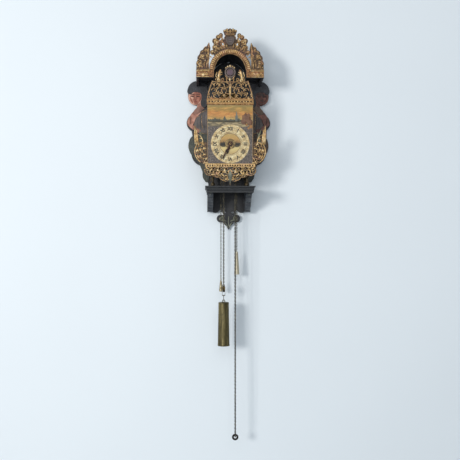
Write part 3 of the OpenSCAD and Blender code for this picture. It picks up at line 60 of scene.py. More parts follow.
CENTRE = Vector(next(j["pos_m"] for j in frame["joints"] if j["name"] == "minute_turn")) / MM
DIAL_LOW, DIAL_HIGH = (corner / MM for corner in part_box("dial_plate"))
CHEEK_LOW, CHEEK_HIGH = (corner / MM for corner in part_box("seat_cheeks"))
HALF_DIAL = DIAL_HIGH.x
DIAL_FACE = DIAL_LOW.y
FRET_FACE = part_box("crest_fret")[0].y / MM
LOW_FRET_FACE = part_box("bottom_fret")[0].y / MM
BOARD_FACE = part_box("backboard")[0].y / MM
CREST_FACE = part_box("hood_crest")[0].y / MM
HOOD_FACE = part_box("hood_moulding")[0].y / MM
FRET_TALL = 134
FRIEZE_TALL = 18.5
ARCADE_TALL = 11
FRET_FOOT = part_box("crest_fret")[1].z / MM - FRET_TALL
LOW_FRET_TOP = DIAL_LOW.z + 1
FRIEZE = (FRET_FOOT - 1, FRET_FOOT + FRIEZE_TALL)
ARCADE = (LOW_FRET_TOP - ARCADE_TALL, LOW_FRET_TOP + 1)
SKY_TALL = 49
PICTURE_TALL = 76
DIAL_BORDER = 2.2


# Materials


def tint(code):
    """A screen colour's six hex digits as linear red, green, blue and alpha."""
    parts = [int(code[i : i + 2], 16) / 255 for i in (0, 2, 4)]
    return (*[c / 12.92 if c <= 0.04045 else ((c + 0.055) / 1.055) ** 2.4 for c in parts], 1.0)


class Amount:
    """A number that varies over a surface. Arithmetic on it adds Math nodes."""

    def __init__(self, finish, socket):
        self.finish = finish
        self.socket = socket

    def math(self, operation, *values):
        node = self.finish.node("ShaderNodeMath", {"operation": operation}, dict(enumerate(values)))
        return Amount(self.finish, node.outputs[0])

    def __add__(self, other):
        return self.math("ADD", self, other)

    def __sub__(self, other):
        return self.math("SUBTRACT", self, other)

    def __mul__(self, other):
        return self.math("MULTIPLY", self, other)

    def __truediv__(self, other):
        return self.math("DIVIDE", self, other)

    def __rsub__(self, other):
        return self.math("SUBTRACT", other, self)

    __radd__ = __add__
    __rmul__ = __mul__

    def both(self, other):
        return self.math("MINIMUM", self, other)

    def either(self, other):
        return self.math("MAXIMUM", self, other)

    def size(self):
        return self.math("ABSOLUTE", self)

    def ramp(self, low, high):
        """0 below low, 1 above high, smooth between; high may be the lower one."""
        settings = {"interpolation_type": "SMOOTHSTEP"}
        ends = (0.0, 1.0) if low < high else (1.0, 0.0)
        inputs = {"Value": self, "From Min": min(low, high), "From Max": max(low, high),
                  "To Min": ends[0], "To Max": ends[1]}
        return Amount(self.finish, self.finish.node("ShaderNodeMapRange", settings, inputs).outputs[0])

    def between(self, low, high, soft=0.6):
        """1 from low to high, with soft ends."""
        return (self - low).ramp(-soft, soft).both((high - self).ramp(-soft, soft))


class Finish:
    """A procedural material, in the piece's own coordinates."""

    def __init__(self, name):
        self.material = bpy.data.materials.new(name)
        self.material.use_nodes = True
        self.tree = self.material.node_tree
        self.shader = self.tree.nodes["Principled BSDF"]
        self.place = self.node("ShaderNodeTexCoord").outputs["Object"]

    def node(self, kind, settings=None, inputs=None):
        made = self.tree.nodes.new(kind)
        for key, value in (settings or {}).items():
            if key == "stops":
                ramp = made.color_ramp
                while len(ramp.elements) < len(value):
                    ramp.elements.new(0.5)
                for element, (at, colour) in zip(ramp.elements, value):
                    element.position = at
                    element.color = colour
            else:
                setattr(made, key, value)
        for key, value in (inputs or {}).items():
            self.feed(made.inputs[key], value)
        return made

    def feed(self, socket, value):
        if isinstance(value, Amount):
            value = value.socket
        if isinstance(value, bpy.types.NodeSocket):
            self.tree.links.new(value, socket)
        else:
            socket.default_value = value

    def stretched(self, stretch):
        if stretch == (1, 1, 1):
            return self.place
        return self.node("ShaderNodeMapping", {}, {"Vector": self.place, "Scale": stretch}).outputs[0]

    def cloud(self, grain_mm, detail=3.0, stretch=(1, 1, 1), sharp=0.5):
        """Noise with patches about grain_mm across, from 0 to 1."""
        inputs = {"Vector": self.stretched(stretch), "Scale": 1 / (grain_mm * MM), "Detail": detail,
                  "Roughness": sharp}
        return Amount(self, self.node("ShaderNodeTexNoise", {}, inputs).outputs[0])

    def cells(self, size_mm, feature="F1", stretch=(1, 1, 1), randomness=1.0):
        inputs = {"Vector": self.stretched(stretch), "Scale": 1 / (size_mm * MM),
                  "Randomness": randomness}
        cells = self.node("ShaderNodeTexVoronoi", {"feature": feature}, inputs)
        return Amount(self, cells.outputs["Distance"])

    def cracks(self, size_mm, width=0.05):
        """1 along a net of fine cracks."""
        return self.cells(size_mm, "DISTANCE_TO_EDGE").ramp(width, 0.0)

    def along(self, axis):
        """The piece's own x, y or z in millimetres."""
        parts = self.node("ShaderNodeSeparateXYZ", {}, {0: self.place})
        return Amount(self, parts.outputs[axis]) * (1 / MM)

    def mix(self, share, first, second):
        inputs = {"Factor": share, 6: first, 7: second}
        return self.node("ShaderNodeMix", {"data_type": "RGBA"}, inputs).outputs[2]

    def shades(self, amount, *stops):
        settings = {"stops": [(at, tint(code)) for at, code in stops]}
        return self.node("ShaderNodeValToRGB", settings, {0: amount}).outputs[0]

    def set(self, **values):
        names = {"colour": "Base Color", "rough": "Roughness", "metal": "Metallic", "coat": "Coat Weight"}
        for key, value in values.items():
            self.feed(self.shader.inputs[names[key]], value)
        return self

    def relief(self, height, depth_mm):
        """Gives the surface its bumps and returns the finished material."""
        inputs = {"Height": height, "Distance": depth_mm * MM}
        self.feed(self.shader.inputs["Normal"], self.node("ShaderNodeBump", {}, inputs).outputs[0])
        return self.material


def paint(name, low, mid, high, streak=(1, 1, 6), rough=0.5, bare_back=None):
    """Old oil paint on wood: brushed streaks, patches rubbed paler, fine cracks.

    Where y is beyond bare_back millimetres, the wood is bare oak.
    """
    f = Finish(name)
    patch = f.cloud(38, 4, sharp=0.6)
    brush = f.cloud(2.2, 2, streak)
    rubbed = f.cloud(9, 5, sharp=0.7).ramp(0.56, 0.74)
    colour = f.shades(patch * 0.65 + brush * 0.35, (0.32, low), (0.5, mid), (0.68, high))
    colour = f.mix(rubbed * 0.35, colour, tint(high))
    crack = f.cracks(3.2, 0.06)
    colour = f.mix(crack * 0.25, colour, tint(low))
    if bare_back is not None:
        grain = f.cloud(4, 4, (2, 1, 0.12), 0.6)
        oak = f.shades(grain, (0.36, "4a3120"), (0.5, "7a5738"), (0.66, "a07a53"))
        colour = f.mix(f.along("Y").ramp(bare_back, bare_back + 0.3), colour, oak)
    f.set(colour=colour, rough=brush * 0.2 + rubbed * 0.15 + rough - 0.1)
    return f.relief(brush * 0.6 + crack * -0.5 + patch * 0.3, 0.25)


def gilding(name, dark, mid, pale, blush, dirt=0.5, grain=7.0):
    """Gilt over carving: patches from brown to bright, rosy patches and soot. Paler and darker copies of it
    paint the carving's lit tops and shaded low places.
    """
    f = Finish(name)
    patch = f.cloud(grain, 4, sharp=0.62)
    fine = f.cloud(1.6, 3)
    rosy = f.cloud(19, 2).ramp(0.54, 0.68)
    colour = f.shades(patch * 0.7 + fine * 0.3, (0.34, dark), (0.48, mid), (0.66, pale))
    colour = f.mix(rosy * 0.5, colour, tint(blush))
    soot = f.cloud(4.5, 5, sharp=0.7).ramp(0.54, 0.40) * dirt
    colour = f.mix(soot, colour, tint(dark))
    f.set(colour=colour, metal=0.3 - soot * 0.28, rough=fine * 0.25 + soot * 0.25 + 0.34)
    return f.relief(patch * 0.5 + fine * 0.5, 0.35)


def fret_ground():
    """The frets' cast faces: dark scrollwork with painted shade of the openwork, golden frieze, bright
    arcade.
    """
    f = Finish("fret_ground")
    z = f.along("Z")
    frieze = z.between(*FRIEZE)
    arcade = z.between(*ARCADE)
    patch = f.cloud(6, 4, sharp=0.65)
    fine = f.cloud(1.6, 3)
    grain = patch * 0.7 + fine * 0.3
    # The scrollwork's dark is painted shade of the openwork.
    dark = f.shades(grain, (0.36, "0d0906"), (0.5, "2b2016"), (0.66, "66502f"))
    golden = f.shades(grain, (0.34, "4d3318"), (0.48, "906b37"), (0.64, "b98f53"))
    bright = f.shades(grain, (0.34, "5f4222"), (0.46, "b58f5c"), (0.64, "dfba7f"))
    colour = f.mix(frieze, f.mix(arcade, dark, bright), golden)
    f.set(colour=colour, metal=fine * 0.3, rough=patch * 0.3 + 0.3)
    return f.relief(grain, 0.35)


def metal(name, low, mid, high, shine=0.9, rough=0.34, grain=11.0, streak=(1, 1, 1)):
    """Tarnished metal; a streak below 1 in z also draws its patches out upright."""
    f = Finish(name)
    patch = f.cloud(grain, 4, streak if streak[2] < 1 else (1, 1, 1), 0.6)
    fine = f.cloud(1.1, 2, streak)
    tarnish = f.cloud(5, 5, sharp=0.7).ramp(0.5, 0.66)
    colour = f.shades(patch * 0.8 + fine * 0.2, (0.34, low), (0.5, mid), (0.66, high))
    colour = f.mix(tarnish * 0.5, colour, tint(low))
    f.set(colour=colour, metal=shine - tarnish * 0.35, rough=fine * 0.15 + tarnish * 0.22 + rough - 0.06)
    return f.relief(fine * 0.7 + patch * 0.3, 0.06)


def dial_paint():
    """A painted sheet: evening sky and land above, marbled corners below."""
    f = Finish("dial_paint")
    x, z = f.along("X"), f.along("Z")
    horizon = DIAL_HIGH.z - SKY_TALL
    land_end = DIAL_HIGH.z - PICTURE_TALL
    drift = (f.cloud(26, 3, (0.35, 1, 1)) - 0.5) * 16
    height = (z + drift - horizon) / (DIAL_HIGH.z - horizon)
    sky = f.shades(height, (0.0, "b39856"), (0.2, "b78240"), (0.42, "b3712c"),
                   (0.62, "a67c30"), (1.0, "907c40"))
    smear = f.cloud(7, 4, (0.28, 1, 1), 0.6)
    sky = f.mix(smear.ramp(0.48, 0.62) * 0.6, sky, tint("7a6732"))
    sky = f.mix(smear.ramp(0.48, 0.36) * 0.6, sky, tint("d29c50"))
    field = f.shades(f.cloud(7, 4, (0.4, 1, 1)), (0.36, "4a4434"), (0.5, "7a6b4c"), (0.64, "a08d66"))
    picture = f.mix(z.ramp(horizon - 1.5, horizon + 1.5), field, sky)
    vein = f.cloud(5, 5, sharp=0.75)
    marble = f.shades(vein, (0.34, "282425"), (0.46, "463d39"), (0.56, "61554c"), (0.68, "8f8579"))
    edge = z + (f.cloud(14, 3) - 0.5) * 14 - x.size() * 0.05
    colour = f.mix(edge.ramp(land_end - 3, land_end + 3), marble, picture)
    side_border = (x.size() - HALF_DIAL + DIAL_BORDER).ramp(-0.4, 0.4)
    border = side_border.either((z - DIAL_HIGH.z + DIAL_BORDER).ramp(-0.4, 0.4))
    colour = f.mix(border * 0.7, colour, tint("8a6a3c"))
    crack = f.cracks(4.0)
    f.set(colour=f.mix(crack * 0.3, colour, tint("5a4630")), rough=vein * 0.2 + 0.32)
    return f.relief(crack * -0.6 + vein * 0.4, 0.12)


def ring_paint():
    """Cream chapter ring, yellowed in patches."""
    f = Finish("ring_paint")
    stain = f.cloud(11, 4, sharp=0.6)
    crack = f.cracks(3.4)
    colour = f.shades(stain, (0.34, "9f8458"), (0.5, "c5ae7e"), (0.66, "e0d2a8"))
    f.set(colour=f.mix(crack * 0.35, colour, tint("8c6f45")), rough=stain * 0.2 + 0.3)
    return f.relief(crack * -0.6 + stain * 0.3, 0.1)


def centre_paint():
    """The painted scene inside the chapter ring: sunset over water."""
    f = Finish("centre_paint")
    z = f.along("Z") - CENTRE.z + (f.cloud(9, 3, (0.3, 1, 1)) - 0.5) * 9
    colour = f.shades((z + 36) / 72, (0.0, "b09460"), (0.3, "cdb77a"), (0.42, "8f7748"),
                      (0.5, "3c2f20"), (0.57, "8c6a3a"), (0.76, "b48c4c"), (1.0, "a88e50"))
    stroke = f.cloud(2.6, 3, (0.4, 1, 1))
    f.set(colour=f.mix(stroke.ramp(0.6, 0.72) * 0.5, colour, tint("e3cf92")), rough=stroke * 0.2 + 0.35)
    return f.relief(stroke, 0.15)


def flesh(name, shadow, mid, light):
    """Painted skin."""
    f = Finish(name)
    patch = f.cloud(16, 3)
    brush = f.cloud(1.8, 2, (1, 1, 3))
    colour = f.shades(patch * 0.75 + brush * 0.25, (0.34, shadow), (0.5, mid), (0.66, light))
    f.set(colour=colour, rough=brush * 0.2 + 0.4)
    return f.relief(brush, 0.12)


def scales_paint(name, low, mid, high, edge):
    """A fish tail: rows of scales with pale rims."""
    f = Finish(name)
    rim = f.cells(6.0, "F1", (1, 0.2, 1.2), 0.35)
    patch = f.cloud(30, 3)
    colour = f.shades(patch, (0.36, low), (0.5, mid), (0.64, high))
    f.set(colour=f.mix(rim.ramp(0.42, 0.62) * 0.6, colour, tint(edge)), rough=rim * 0.2 + 0.4)
    return f.relief(rim * -1.0, 0.5)


def wall_paint():
    """Pale wall, seen from its front only; other rays pass, to light the clock's back."""
    f = Finish("wall_paint")
    f.set(colour=f.shades(f.cloud(900, 2), (0.3, "e1e7ec"), (0.7, "e4eaef")), rough=0.9)
    back = Amount(f, f.node("ShaderNodeNewGeometry").outputs["Backfacing"])
    ray = f.node("ShaderNodeLightPath").outputs
    shown = Amount(f, ray["Is Camera Ray"]).either(Amount(f, ray["Is Glossy Ray"])) * (1 - back)
    clear = f.node("ShaderNodeBsdfTransparent").outputs[0]
    seen = f.node("ShaderNodeMixShader", {}, {0: shown, 1: clear, 2: f.shader.outputs[0]})
    f.tree.links.new(seen.outputs[0], f.tree.nodes["Material Output"].inputs["Surface"])
    return f.material


BOARD_PAINT = paint("board_paint", "101013", "1d1d21", "323236", bare_back=-0.6)
SHIELD_GREY = paint("shield_grey", "2d2523", "52453f", "87786c")
HOOD_PAINT = paint("hood_paint", "0d0d11", "18181d", "2a2a31")
SEAT_PAINT = paint("seat_paint", "0b0c0f", "131519", "24282d", (4, 4, 1))
CHEEK_GREY = paint("cheek_grey", "202226", "383b41", "808485", (2, 2, 1))
LINE_PAINT = paint("line_paint", "1f2327", "353a3f", "565b5f")
DAB_PAINT = paint("dab_paint", "484c44", "737565", "a6a48c")
GILT = gilding("gilt", "3a2514", "a67f4d", "e6c18a", "b57f62")
GILT_WARM = gilding("gilt_warm", "3f2011", "b5793f", "eec088", "b56848", 0.45)
# Painted highlight: a paler copy of the gilt, for raised ribs, strands, rims and beads.
GILT_HIGHLIGHT = gilding("gilt_highlight", "6a4a27", "d1a968", "f8e7bd", "d0a088", 0.3)
# Darker copies for the ground round the carving and between the arch's ribs: dirt and painted shade in the
# low places.
GILT_GROUND = gilding("gilt_ground", "160e09", "4e3723", "8c6c47", "54393a", 0.8, 5.0)
GILT_ARCH = gilding("gilt_arch", "2b1a0e", "85592f", "b98a52", "96603c", 0.6)
FRET_GROUND = fret_ground()
MAUVE = paint("mauve_paint", "33232b", "5c4650", "88747c")
MAUVE_PALE = paint("mauve_pale", "4d4040", "82706a", "b3a295")
BRASS = metal("aged_brass", "4d3d1a", "8a6f3c", "c2a05e")
WEIGHT_BRASS = metal("weight_brass", "2e2a17", "5c5232", "8f8258", 0.6, 0.45, 9, (1, 1, 0.08))
PALE_BRASS = metal("pale_brass", "5d523c", "988b6c", "d6caa8", 0.6, 0.42)
CHAIN_METAL = metal("chain_metal", "1d1c19", "3f3b30", "726b56", 0.7, 0.45, 14)
ALARM_LEAD = metal("alarm_lead", "6b6250", "a59b83", "d8cfb8", 0.4, 0.4, 24, (1, 1, 0.15))
# Brass darkened for the posts and for the feet that stand under the fret: tarnish and painted shade.
BRASS_TARNISH_AND_SHADE = metal("brass_tarnish_and_shade", "1a150c", "382d19", "6e5b38", 0.6, 0.45)
ALARM_BRASS = metal("alarm_brass", "2f2412", "75603a", "b79a64", 0.2, 0.5, 6)
IRON = metal("wrought_iron", "1a1919", "302e2d", "4d4946", 0.7, 0.5, 9)
STEEL = metal("filed_steel", "4a4846", "77746f", "a8a49f", 0.9, 0.3, 12, (1, 1, 8))
HAND_IRON = metal("hand_iron", "150c09", "2b1912", "4f3027", 0.5, 0.45)
DIAL_PAINT = dial_paint()
RING_PAINT = ring_paint()
CENTRE_PAINT = centre_paint()
NUMERAL = paint("numeral_black", "100e0a", "1e1912", "332a1d")
DOOR_PAINT = paint("door_paint", "2b1911", "482a1d", "6b442f")
# Bearers' skin: the left bearer is painted lit and the right one in painted shade, so the right one's flesh
# is a darker copy.
FLESH_LIT = flesh("flesh_lit", "70402f", "a8705a", "cf9c88")
FLESH_SHADED = flesh("flesh_shaded", "3a1d16", "66382a", "8c5543")
FLESH_LINE = flesh("flesh_line", "1d0f0b", "2e1912", "48281d")
# Painted shade on the left bearer's face.
FACE_SHADE_PAINT = flesh("face_shade_paint", "6f3a2a", "9c5c47", "b87a64")
LIP_PAINT = flesh("lip_paint", "4a1a14", "7a2f24", "96483a")
SLEEVE = paint("sleeve_paint", "5f4034", "946858", "bd917e")
# Painted shade: a darker copy of the sleeve, for the right bearer.
SLEEVE_SHADED = paint("sleeve_shaded", "3d2b25", "66503f", "8a7058")
LEAF_PAINT = paint("leaf_paint", "33362c", "5f5e48", "a39a74", (1, 1, 3))
DRESS = paint("dress_paint", "3a3331", "615754", "8b827d")
HAIR = paint("hair_paint", "121216", "26262b", "424249", (1, 1, 3))
SCALES = scales_paint("scales_green", "151a1a", "252b28", "3e3f38", "55594a")
SCALES_WARM = scales_paint("scales_brown", "120b07", "291b12", "4a3320", "7c5a38")
# Deeper painted shade, for the right bearer's face.
FACE_SHADE_DEEP = flesh("face_shade_deep", "2a120c", "48241a", "663a2b")
FACE_LIT = flesh("face_lit", "986552", "cd9a84", "f0ccb8")
VILLAGE_PAINT = paint("village_paint", "2b2c25", "4a4a3f", "77735c")
TOWER_PAINT = paint("tower_paint", "3f423e", "5d605a", "85846f")
TREE_PAINT = paint("tree_paint", "1f1c10", "3b3520", "665a35")
GROVE_PAINT = paint("grove_paint", "3f281b", "6b4732", "96704b")
BUSH_PAINT = paint("bush_paint", "6b431f", "9a6a35", "c2955a")
WALL_PAINT = wall_paint()
FLOOR_PAINT = paint("floor_paint", "c9d2d8", "d6dee3", "e2e8ec")


# Shapes


def linked(name, data):
    """An object in the scene, at the origin."""
    thing = bpy.data.objects.new(name, data)
    bpy.context.scene.collection.objects.link(thing)
    return thing


def placed(name, mesh, material):
    """A mesh in the scene with one material."""
    piece = linked(name, mesh)
    mesh.materials.clear()
    mesh.materials.append(material)
    return piece


def finished(name, mesh, material, smooth=True):
    """A piece that rides on the wall bracket."""
    for face in mesh.polygons:
        face.use_smooth = smooth
    piece = placed(name, mesh, material)
    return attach(piece, "bracket")


def mesh_of(shape, name, unit=1.0):
    """The mesh of a bmesh that was drawn in this unit of a metre."""
    bmesh.ops.scale(shape, vec=(unit, unit, unit), verts=shape.verts)
    mesh = bpy.data.meshes.new(name)
    shape.to_mesh(mesh)
    shape.free()
    return mesh


def from_curve(curve):
    """The mesh of a curve or text, in its own flat coordinates."""
    holder = linked("holder", curve)
    bpy.context.view_layer.update()
    shown = holder.evaluated_get(bpy.context.evaluated_depsgraph_get())
    mesh = bpy.data.meshes.new_from_object(shown)
    bpy.data.objects.remove(holder)
    bpy.data.curves.remove(curve)
    return mesh


def upright(mesh, face, flat=1.0):
    """Stands a drawing up: its x stays, its y becomes z, and its height comes forward from face."""
    mesh.transform(Matrix(((1, 0, 0, 0), (0, 0, -flat, face), (0, 1, 0, 0), (0, 0, 0, 1))))
    mesh.transform(Matrix.Scale(MM, 4))
    return mesh


def joined(meshes):
    """One mesh out of several."""
    shape = bmesh.new()
    for mesh in meshes:
        shape.from_mesh(mesh)
        bpy.data.meshes.remove(mesh)
    return mesh_of(shape, "joined")


def strands(lines, face, flat=0.55, steps=3):
    """Half-round carved lines; each is a list of (x, z, half width) in millimetres."""
    curve = bpy.data.curves.new("strands", "CURVE")
    curve.dimensions = "3D"
    curve.bevel_depth = 1.0
    curve.bevel_resolution = 1
    curve.use_fill_caps = True
    curve.resolution_u = steps
    for line in lines:
        spline = curve.splines.new("NURBS")
        spline.points.add(len(line) - 1)
        for point, (x, z, width) in zip(spline.points, line):
            point.co = (x, z, 0, 1)
            point.radius = width
        spline.order_u = min(4, len(line))
        spline.use_endpoint_u = True
    return upright(from_curve(curve), face, flat)


def beads(places, face, flat=0.6):
    """Domed beads; each place is (x, z, radius)."""
    shape = bmesh.new()
    for x, z, radius in places:
        ball = bmesh.ops.create_uvsphere(shape, u_segments=10, v_segments=6, radius=radius)["verts"]
        bmesh.ops.scale(shape, vec=(1, flat, 1), verts=ball)
        bmesh.ops.translate(shape, vec=(x, face, z), verts=ball)
    return mesh_of(shape, "beads", MM)


def cutout(outlines, face, thick, edge=0.4, smooth=True):
    """A flat shape with rounded edges, from outlines of (x, z); its back is at face."""
    curve = bpy.data.curves.new("cutout", "CURVE")
    curve.dimensions = "2D"
    curve.fill_mode = "BOTH"
    curve.extrude = thick / 2 - edge
    curve.bevel_depth = edge
    curve.bevel_resolution = 1
    curve.resolution_u = 6
    for outline in outlines:
        spline = curve.splines.new("BEZIER")
        spline.bezier_points.add(len(outline) - 1)
        for point, (x, z) in zip(spline.bezier_points, outline):
            point.co = (x, z, 0)
            point.handle_left_type = point.handle_right_type = "AUTO" if smooth else "VECTOR"
        spline.use_cyclic_u = True
    return upright(from_curve(curve), face - thick / 2)


def mirrored(lines):
    """The lines and their mirror images."""
    return lines + [[(-x, z, w) for x, z, w in line] for line in lines]


def both_sides(places):
    """Beads and their mirror images; those on the centre line come once."""
    return places + [(-x, z, r) for x, z, r in places if abs(x) > 0.01]


def shifted(items, dz):
    """Lines moved up by dz."""
    return [[(x, z + dz, w) for x, z, w in line] for line in items]


def polar(x, z, radius, angle):
    """The point at this radius and angle, in degrees, from (x, z)."""
    return x + radius * cos(radians(angle)), z + radius * sin(radians(angle))


def arc(x, z, radius, start, end, width, tip=1.0):
    """A carved arc that thins from width to tip of it."""
    count = max(4, round(abs(end - start) / 40) + 2)
    line = []
    for i in range(count):
        share = i / (count - 1)
        px, pz = polar(x, z, radius, start + (end - start) * share)
        line.append((px, pz, width * (1 - (1 - tip) * share)))
    return line


def scroll(x, z, radius, start, turns, width, inner=0.25):
    """A scroll that winds in to its eye."""
    count = max(6, round(abs(turns) * 9))
    line = []
    for i in range(count):
        share = i / (count - 1)
        px, pz = polar(x, z, radius * (1 - (1 - inner) * share), start + 360 * turns * share)
        line.append((px, pz, width * (1 - 0.5 * share)))
    return line


def leaf(x, z, angle, length, width, bend=0.0):
    """A pointed leaf that may bend to one side."""
    line = []
    for i in range(6):
        share = i / 5
        px, pz = polar(x, z, length * share, angle + bend * share)
        line.append((px, pz, max(0.15, width * sin(pi * (0.08 + 0.9 * share)))))
    return line


def carve(name, lines, face, material, flat=0.55):
    """Carved lines as a piece."""
    finished(name, strands(lines, face, flat), material)


# The stage, in metres

STAGE_SIZE = 4.0
WALL_BEHIND = 0.0006
FLOOR_AT = (0, -3.4, -2.1)
LAMPS_AIM = (0, 0, -0.5)
CAMERA_AT = (-0.09, -2.4, -0.605)
CAMERA_TURN = -2.29
CAMERA_LENS = 52.18


def make_stage():
    wall = bmesh.new()
    bmesh.ops.create_grid(wall, x_segments=1, y_segments=1, size=STAGE_SIZE)
    upended = Matrix.Rotation(radians(90), 3, "X")
    bmesh.ops.rotate(wall, cent=(0, 0, 0), matrix=upended, verts=wall.verts)
    bmesh.ops.translate(wall, vec=(0, WALL_BEHIND, 0), verts=wall.verts)
    floor = bmesh.new()
    bmesh.ops.create_grid(floor, x_segments=1, y_segments=1, size=STAGE_SIZE)
    bmesh.ops.translate(floor, vec=FLOOR_AT, verts=floor.verts)
    for name, shape, material in (("wall", wall, WALL_PAINT), ("floor", floor, FLOOR_PAINT)):
        piece = placed(name, mesh_of(shape, name), material)


def make_lights():
    """A small window lamp from the left for the shadow, and a broad soft one for the room."""
    def area(name, place, size, power, colour):
        data = bpy.data.lights.new(name, "AREA")
        data.size = size
        data.energy = power
        data.color = colour
        lamp = linked(name, data)
        lamp.location = place
        lamp.rotation_euler = (Vector(LAMPS_AIM) - Vector(place)).to_track_quat("-Z", "Y").to_euler()

    bpy.context.scene.view_settings.view_transform = "Standard"
    area("window", (-2.75, -4.3, -0.05), 0.9, 128, (1.0, 0.985, 0.95))
    area("room", (-0.5, -4.2, 0.6), 3.0, 60, (0.95, 0.975, 1.0))
    world = bpy.data.worlds.new("room_light")
    bpy.context.scene.world = world
    world.use_nodes = True
    ground = world.node_tree.nodes["Background"]
    ground.inputs["Color"].default_value = (0.78, 0.87, 0.94, 1.0)
    ground.inputs["Strength"].default_value = 0.35


def make_camera():
    """A level camera 2.4 m from the wall, turned a little to the right."""
    data = bpy.data.cameras.new("camera")
    data.sensor_width = 36.0
    data.lens = CAMERA_LENS
    camera = linked("camera", data)
    camera.location = CAMERA_AT
    camera.rotation_euler = (radians(90), 0, radians(CAMERA_TURN))
    bpy.context.scene.camera = camera


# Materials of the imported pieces

FINISHES = (
    (BOARD_PAINT, "backboard"), (HOOD_PAINT, "hood_roof hood_front hood_sides"), (GILT_ARCH, "hood_moulding"),
    (SEAT_PAINT, "seat_board seat_moulding"), (CHEEK_GREY, "seat_cheeks"), (DIAL_PAINT, "dial_plate"),
    (GILT_GROUND, "hood_crest hood_wings side_frets"), (FRET_GROUND, "crest_fret bottom_fret"),
    (DOOR_PAINT, "left_door right_door"), (HAND_IRON, "hour_hand minute_hand"), (ALARM_BRASS, "alarm_disc"),
    (WEIGHT_BRASS, "main_weight"), (ALARM_LEAD, "alarm_weight"), (PALE_BRASS, "counterweight"),
    (BRASS_TARNISH_AND_SHADE, "feet_and_finials corner_posts"),
    (IRON, "hanging_plate base_plate top_plate front_bar inner_bars crown_wheel_cocks alarm_cock chain_ring"),
    (STEEL, "verge pendulum_rod fly hammer alarm_hammer pulley_fork"),
    (CHAIN_METAL, "weight_chain ring_chain alarm_weight_chain counterweight_chain chain_wraps"),
)


def dress():
    """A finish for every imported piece: brass where FINISHES names none."""
    finish_of = {name: material for material, names in FINISHES for name in names.split()}
    for name, node in frame["nodes"].items():
        node.data.materials.clear()
        node.data.materials.append(finish_of.get(name, BRASS))


# Chapter ring, numerals and painted scenes on the dial


def disc(radius, hole, face, thick):
    """A thin ring round the dial's centre; its back is at face."""
    shape = bmesh.new()
    front = face - thick
    profile = [
        (hole, face), (hole, front + 0.1), (hole + 0.1, front), (radius - 0.15, front),
        (radius, front + 0.15), (radius, face)
    ]
    points = [shape.verts.new((r, y, 0)) for r, y in profile]
    for a, b in zip(points, points[1:] + points[:1]):
        shape.edges.new((a, b))
    bmesh.ops.spin(shape, geom=shape.verts[:] + shape.edges[:], cent=(0, 0, 0), axis=(0, 1, 0),
                   angle=tau, steps=96, use_merge=True)
    bmesh.ops.remove_doubles(shape, verts=shape.verts, dist=0.001)
    bmesh.ops.recalc_face_normals(shape, faces=shape.faces)
    bmesh.ops.translate(shape, vec=(CENTRE.x, 0, CENTRE.z), verts=shape.verts)
    return mesh_of(shape, "disc", MM)


RING_R = 65.0
RING_HOLE = 36.0
RING_THICK = 0.5
RING_FACE = DIAL_FACE - RING_THICK
MINUTE_TRACK = (57.4, 59.2)
NUMERAL_THICK = 0.15
HOURS = "XII I II III IIII V VI VII VIII IX X XI".split()


def numeral(text, size, radius, angle, bold):
    """A numeral that stands on the ring with its foot towards the centre."""
    data = bpy.data.curves.new("numeral", "FONT")
    data.body = text
    data.size = size
    data.align_x = "CENTER"
    data.align_y = "CENTER"
    data.extrude = NUMERAL_THICK / 2
    data.offset = bold
    mesh = from_curve(data)
    mesh.transform(Matrix.Diagonal((0.85, 1, 1, 1)))
    mesh.transform(Matrix.Translation((0, radius, 0)))
    mesh.transform(Matrix.Rotation(radians(-angle), 4, "Z"))
    mesh.transform(Matrix.Translation((CENTRE.x, CENTRE.z, 0)))
    return upright(mesh, RING_FACE - NUMERAL_THICK / 2)


def make_chapter_ring():
    finished("chapter_ring", disc(RING_R, RING_HOLE, DIAL_FACE, RING_THICK), RING_PAINT, False)
    finished("dial_scene", disc(RING_HOLE - 0.6, 6.4, DIAL_FACE, 0.25), CENTRE_PAINT, False)
    marks = [numeral(text, 17.5, 50.5, i * 30, 0.62) for i, text in enumerate(HOURS)]
    marks += [numeral(str(5 * (i or 12)), 4.8, 62.0, i * 30, 0.12) for i in range(12)]
    rings = [arc(CENTRE.x, CENTRE.z, r, 0, 360, w)
             for r, w in ((59.2, 0.28), (57.4, 0.18), (42.6, 0.3), (37.2, 0.3))]
    ticks = []
    for i in range(60):
        start, end = (polar(CENTRE.x, CENTRE.z, r, i * 6) for r in MINUTE_TRACK)
        ticks.append([(*start, 0.16), (*end, 0.16)])
    marks.append(strands(rings + ticks, RING_FACE, 0.3, 4))
    finished("numerals", joined(marks), NUMERAL, False)
    rim = [arc(CENTRE.x, CENTRE.z, r, 0, 360, w)
           for r, w in ((RING_R + 0.3, 1.0), (RING_HOLE, 0.5))]
    finished("ring_rims", strands(rim, DIAL_FACE, 0.8, 6), GILT_HIGHLIGHT)


def hill(points, base):
    """A silhouette that stands on base."""
    return [(points[0][0], base)] + points + [(points[-1][0], base)]


def house(x, foot, base, wide, tall):
    """A gabled front that reaches from foot to tall above base."""
    eaves = base + tall * 0.6
    return [(x - wide, foot), (x - wide, eaves), (x, base + tall), (x + wide, eaves), (x + wide, foot)]


